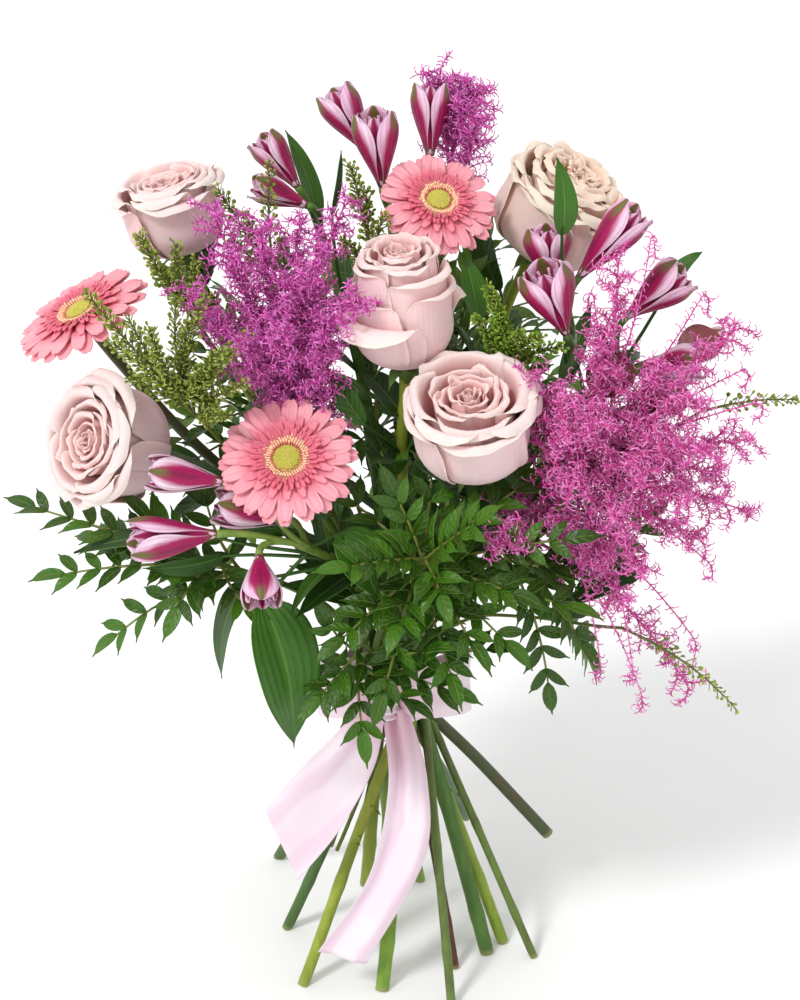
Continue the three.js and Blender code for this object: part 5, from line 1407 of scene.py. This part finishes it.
# Shoots that the node leaves out.
MORE_RACEMES = {
    "pennycress_upper_left": [[0.95, (246, 214, 2), 40], [0.9, (232, 236, 10), 40]],
    "pennycress_left": [
        [0.95, (160, 268, -14), 60], [0.9, (214, 300, -30), 60], [0.95, (176, 244, -36), 50],
    ],
    "pennycress_far_left": [
        [1, (112, 342, -72), 60], [0.98, (190, 320, -70), 70], [0.95, (210, 376, -80), 60],
        [0.96, (168, 386, -62), 50], [0.9, (226, 416, -94), 60], [0.97, (132, 378, -60), 50],
        [0.92, (246, 384, -88), 60], [0.98, (128, 318, -80), 60], [0.97, (206, 294, -66), 60],
        [0.96, (176, 300, -60), 60], [0.93, (248, 334, -70), 60], [0.95, (222, 350, -96), 70],
    ],
    "pennycress_top": [[0.95, (366, 190, 10), 50], [0.9, (342, 240, -10), 50]],
    "pennycress_right": [
        [1, (500, 312, -58), 70], [0.97, (520, 334, -64), 60], [0.95, (562, 346, -60), 60],
        [0.98, (476, 318, -50), 50],
    ],
    "pennycress_far_right": [],
    "pennycress_low_right": [],
}


# How many pods there really are for each that a row counts.
MORE_PODS = 1.3


def grow_pod(growth, root, way, size):
    """A flat, round, notched pod on its thin stalk."""
    foot = root + way * size * growth.random.uniform(1.0, 2.2)
    growth.rods([root, mix(root, foot, 0.5), foot], 0.28, 4, place=1.0)
    s, t = weave(4, 3, 0.12)
    across = spin(way, growth.random.uniform(0, 6.3))
    half = size * 0.5 * np.sqrt(np.clip(1 - (2 * t - 1.02) ** 2, 0.05, 1))
    notch = 0.12 * size * (1 - abs(s)) * ease((t - 0.8) / 0.2)
    along = t * size - notch
    bulge = np.cross(way, across) * (0.22 * size)
    points = foot + way * along[..., None] + across * (s * half)[..., None]
    growth.shell(points + bulge * ((1 - s * s) * t * (1 - t))[..., None], size * 0.2)


def grow_raceme(growth, curve, pods):
    """A stalk with pods all round it, smaller and steeper towards its tip."""
    pick = growth.random.uniform
    ways = unit(np.gradient(curve, axis=0))
    growth.rods(curve, np.linspace(0.9, 0.4, len(curve)), 5, place=1.0)
    pods = round(pods * MORE_PODS)
    for k in range(pods):
        t = mix(0.2, 1, (k + pick(0, 0.5)) / pods)
        at = min(int(t * (len(curve) - 1)), len(curve) - 1)
        out = spin(ways[at], k * GOLDEN)
        rise = mix(0.5, 1.3, t)
        way = unit(out + ways[at] * rise)
        grow_pod(growth, curve[at], way, mix(2.9, 1.9, t) * pick(0.85, 1.15))


OLIVE = tint(108, 128, 40), tint(156, 170, 66), tint(208, 214, 124)
LIME = tint(100, 142, 32), tint(140, 178, 50), tint(184, 212, 96)
for name, rows in RACEMES.items():
    stem = stems[name]
    growth = Growth(name + "_pods", 17 + len(name))
    growth.rods(stem.path, stem.radii() * 0.8, 7, place=1.0)
    for share, tip, pods in rows:
        grow_raceme(growth, shoot(stem, share, tip, 40), pods)
    for share, tip, pods in MORE_RACEMES[name]:
        grow_raceme(growth, shoot(stem, share, tip, 40, added=True), pods)
    colours = LIME if name == "pennycress_right" else OLIVE
    growth.made(pod_finish(name + "_finish", *colours), "pennycress", name)


# ---------- smoke bush ----------
# [share, root on the picture, tip, width]
ROUND_LEAVES = [
    [1, (612, 398, -6), (614, 350, 4), 24],
    [0.95, (648, 408, -4), (690, 392, 10), 24],
    [0.85, (610, 442, -8), (592, 408, 2), 22],
    [0.8, (650, 448, -10), (684, 462, 0), 24],
    [1, (678, 356, 2), (724, 338, 8), 24],
    [0.9, (590, 392, -30), (622, 362, -34), 22],
    [0.85, (640, 430, -60), (664, 404, -74), 20],
    [0.8, (616, 450, -70), (640, 474, -84), 20],
]
bush = stems["smoke_bush"]
growth = Growth("smoke_bush_leaves", 5)
growth.rods(bush.path, bush.radii(), 8, place=1.0)
for share, root, tip, width in ROUND_LEAVES:
    grow_leaf(growth, bush, share, root, tip, width, (90, 60), 0.08, oval)
bush_finish = leaf_finish("smoke_bush_finish", tint(128, 62, 66), tint(150, 84, 84),
                          tint(112, 56, 48), -26, 0.36)
growth.made(bush_finish, "smoke_bush_leaf", "smoke_bush")


# ---------- ribbon ----------
# The ribbon's width, its thickness, how far it lies outside the bundle of stems, and how tall its
# wrap and its knot are.
RIBBON = 38
CLOTH = 0.3
OVER_TWINE = 3.2
WRAP_TALL = 32
KNOT_TALL = 19
ribbon_finish = satin_finish()


def route(line):
    """The length of a line through points."""
    return np.linalg.norm(np.diff(line, axis=0), axis=1).sum()


def grow_tail(growth, left, right, deep):
    """A strip between two edges, with creases deep at its root. Gives the length of the strip."""
    first, last = through(left, 61), through(right, 61)
    s, t = weave(60, 16, 0.03)
    points = mix(first[:, None], last[:, None], ((s + 1) / 2)[..., None])
    normal = unit(np.cross(np.gradient(points, axis=1), np.gradient(points, axis=0)))
    fold = np.sin(s * 3.1) * (1 - 0.6 * t) + 0.65 * np.sin(s * 7 + t * 4) * (1 - t) ** 1.5
    growth.shell(points + normal * (deep * fold)[..., None], CLOTH)
    return (route(first) + route(last)) / 2


def lay_ribbon(growth, length):
    """Makes a piece of the ribbon. Its length, measured along its route, is not used."""
    piece = growth.made(ribbon_finish, "satin", "satin_ribbon")
    length * METRES


# [depth of the creases, left edge on the photograph, right edge]
TAILS = {
    "ribbon_tail_left": [
        3.2,
        [(358, 706, -31), (332, 738, -42), (298, 772, -54), (265, 810, -62)],
        [(386, 712, -32), (374, 768, -46), (338, 832, -60), (298, 880, -66)],
    ],
    "ribbon_tail_right": [
        -4.6,
        [(383, 712, -31), (388, 790, -50), (368, 878, -68), (318, 952, -80)],
        [(408, 706, -30), (427, 780, -46), (424, 860, -62), (366, 964, -80)],
    ],
}
for name, (deep, *edges) in TAILS.items():
    growth = Growth(name, 3)
    left, right = ([at_depth(place) for place in edge] for edge in edges)
    length = grow_tail(growth, left, right, deep)
    lay_ribbon(growth, length)

growth = Growth("ribbon_wrap", 4)
s, t = weave(80, 36, 0.03)
turn = t * 2 * math.pi * 0.995
out = BUNDLE + OVER_TWINE + 1.6 * s * s + 0.45 * np.sin(s * 13 + np.sin(turn * 2) * 2)
points = np.stack([WAIST[0] - out * np.sin(turn), WAIST[1] - out * np.cos(turn),
                   TIE + s * WRAP_TALL / 2], axis=-1)
growth.shell(points[:, ::-1], CLOTH)
lay_ribbon(growth, 2 * math.pi * (BUNDLE + OVER_TWINE))

# The middle line of each loop, from the foot of the waist at the height of the twine.
LOOPS = {
    "bow_loop_left": [
        (-4, -25, 8), (-20, -36, 11), (-39, -36, 14), (-40, -27, 14), (-20, -27, 11), (-6, -24, 8),
    ],
    "bow_loop_right": [
        (-2, -25, 8), (16, -39, 12), (40, -38, 17), (43, -29, 17), (18, -29, 12), (0, -24, 8),
    ],
}
for name, path in LOOPS.items():
    growth = Growth(name, 6)
    line = through([WAIST + (x, y, TIE + z) for x, y, z in path], 61)
    s, t = weave(60, 10, 0.03)
    pinch = 0.45 + 0.55 * np.sin(np.pi * t) ** 0.7
    rise = s * RIBBON / 2 * pinch
    out = unit(np.cross(np.gradient(line, axis=0), UP))
    fold = 0.9 * np.sin(s * 5) * (1 - np.sin(np.pi * t)) + 0.5 * np.sin(s * 3 + t * 8)
    growth.shell(line[:, None] + UP * rise[..., None] + out[:, None] * fold[..., None], CLOTH)
    lay_ribbon(growth, route(line))

growth = Growth("ribbon_knot", 8)
knot = WAIST + (-3, -BUNDLE - 10.4, TIE + 2)
s, t = weave(60, 48, 0.04)
turn = t * 2 * math.pi * 0.97
out = 7.4 - 1.6 * abs(s) ** 2 + 1.4 * np.sin(s * 13 + turn)
points = np.stack([knot[0] + out * np.cos(turn) * 0.95, knot[1] + out * np.sin(turn) * 0.8,
                   knot[2] + s * KNOT_TALL / 2 + 1.2 * np.sin(turn)], axis=-1)
growth.shell(points, CLOTH)
around = points[:, points.shape[1] // 2]
lay_ribbon(growth, route(around))


# ---------- twine ----------
# Turns round the bundle, the height that they take up, and two strands with their radius, how far
# each is from their common middle, and how many times they twist about it.
TURNS = 5
BAND = 8.8
STRAND = 0.55
APART = 0.42
TWISTS = 150
growth = Growth("twine_turns", 2)
t = np.linspace(0, 1, 400)
for strand in (0, 1):
    swing = t * 2 * math.pi * TURNS
    twist = t * 2 * math.pi * TWISTS + strand * math.pi
    out = BUNDLE + 1.35 + APART * np.cos(twist)
    rise = TIE - BAND / 2 + BAND * t + APART * np.sin(twist)
    path = np.stack([WAIST[0] + out * np.cos(swing), WAIST[1] + out * np.sin(swing), rise], axis=-1)
    growth.rods(path, STRAND, 6)
growth.made(twine_finish(), "twine", "binding_twine")


# ---------- floor, light and camera ----------
# Half the floor's width, in metres, the light of the white room, and the height of the camera's
# film, in millimetres.
FLOOR = 30
ROOM_LIGHT = 0.88
FILM = 36
floor_mesh = bpy.data.meshes.new("floor")
floor_corners = [(-FLOOR, -FLOOR, 0), (FLOOR, -FLOOR, 0), (FLOOR, FLOOR, 0), (-FLOOR, FLOOR, 0)]
floor_mesh.from_pydata(floor_corners, [], [(0, 1, 2, 3)])
floor = bpy.data.objects.new("floor", floor_mesh)
bpy.context.scene.collection.objects.link(floor)
paper = Finish("paper_floor")
floor_mesh.materials.append(paper.surface((0.97, 0.97, 0.97, 1), 0.9 + paper.speckle(3) * 0.02))

world = bpy.data.worlds.new("studio")
world.use_nodes = True
sky = world.node_tree.nodes["Background"].inputs
sky["Color"].default_value = (1, 1, 1, 1)
sky["Strength"].default_value = ROOM_LIGHT
bpy.context.scene.world = world


def sun(name, turn, height, soft, power):
    """Light from far off: the way it comes from, how high, how soft its shadows are."""
    light = bpy.data.lights.new(name, "SUN")
    light.angle = math.radians(soft)
    light.energy = power
    lit = bpy.data.objects.new(name, light)
    lit.rotation_euler = (math.radians(90 - height), 0, math.radians(turn))
    bpy.context.scene.collection.objects.link(lit)


sun("key_light", turn=-42, height=46, soft=12, power=1.5)

lens = bpy.data.cameras.new("camera")
lens.sensor_fit = "VERTICAL"
lens.sensor_height = FILM
lens.lens = FILM * DISTANCE / (2 * MIDDLE[1] * PIXEL)
lens.clip_start = 0.05
camera = bpy.data.objects.new("camera", lens)
camera.location = EYE * METRES
camera.rotation_euler = (math.pi / 2 - ELEVATION, 0, 0)
bpy.context.scene.collection.objects.link(camera)
bpy.context.scene.camera = camera
bpy.context.scene.view_settings.view_transform = "Standard"
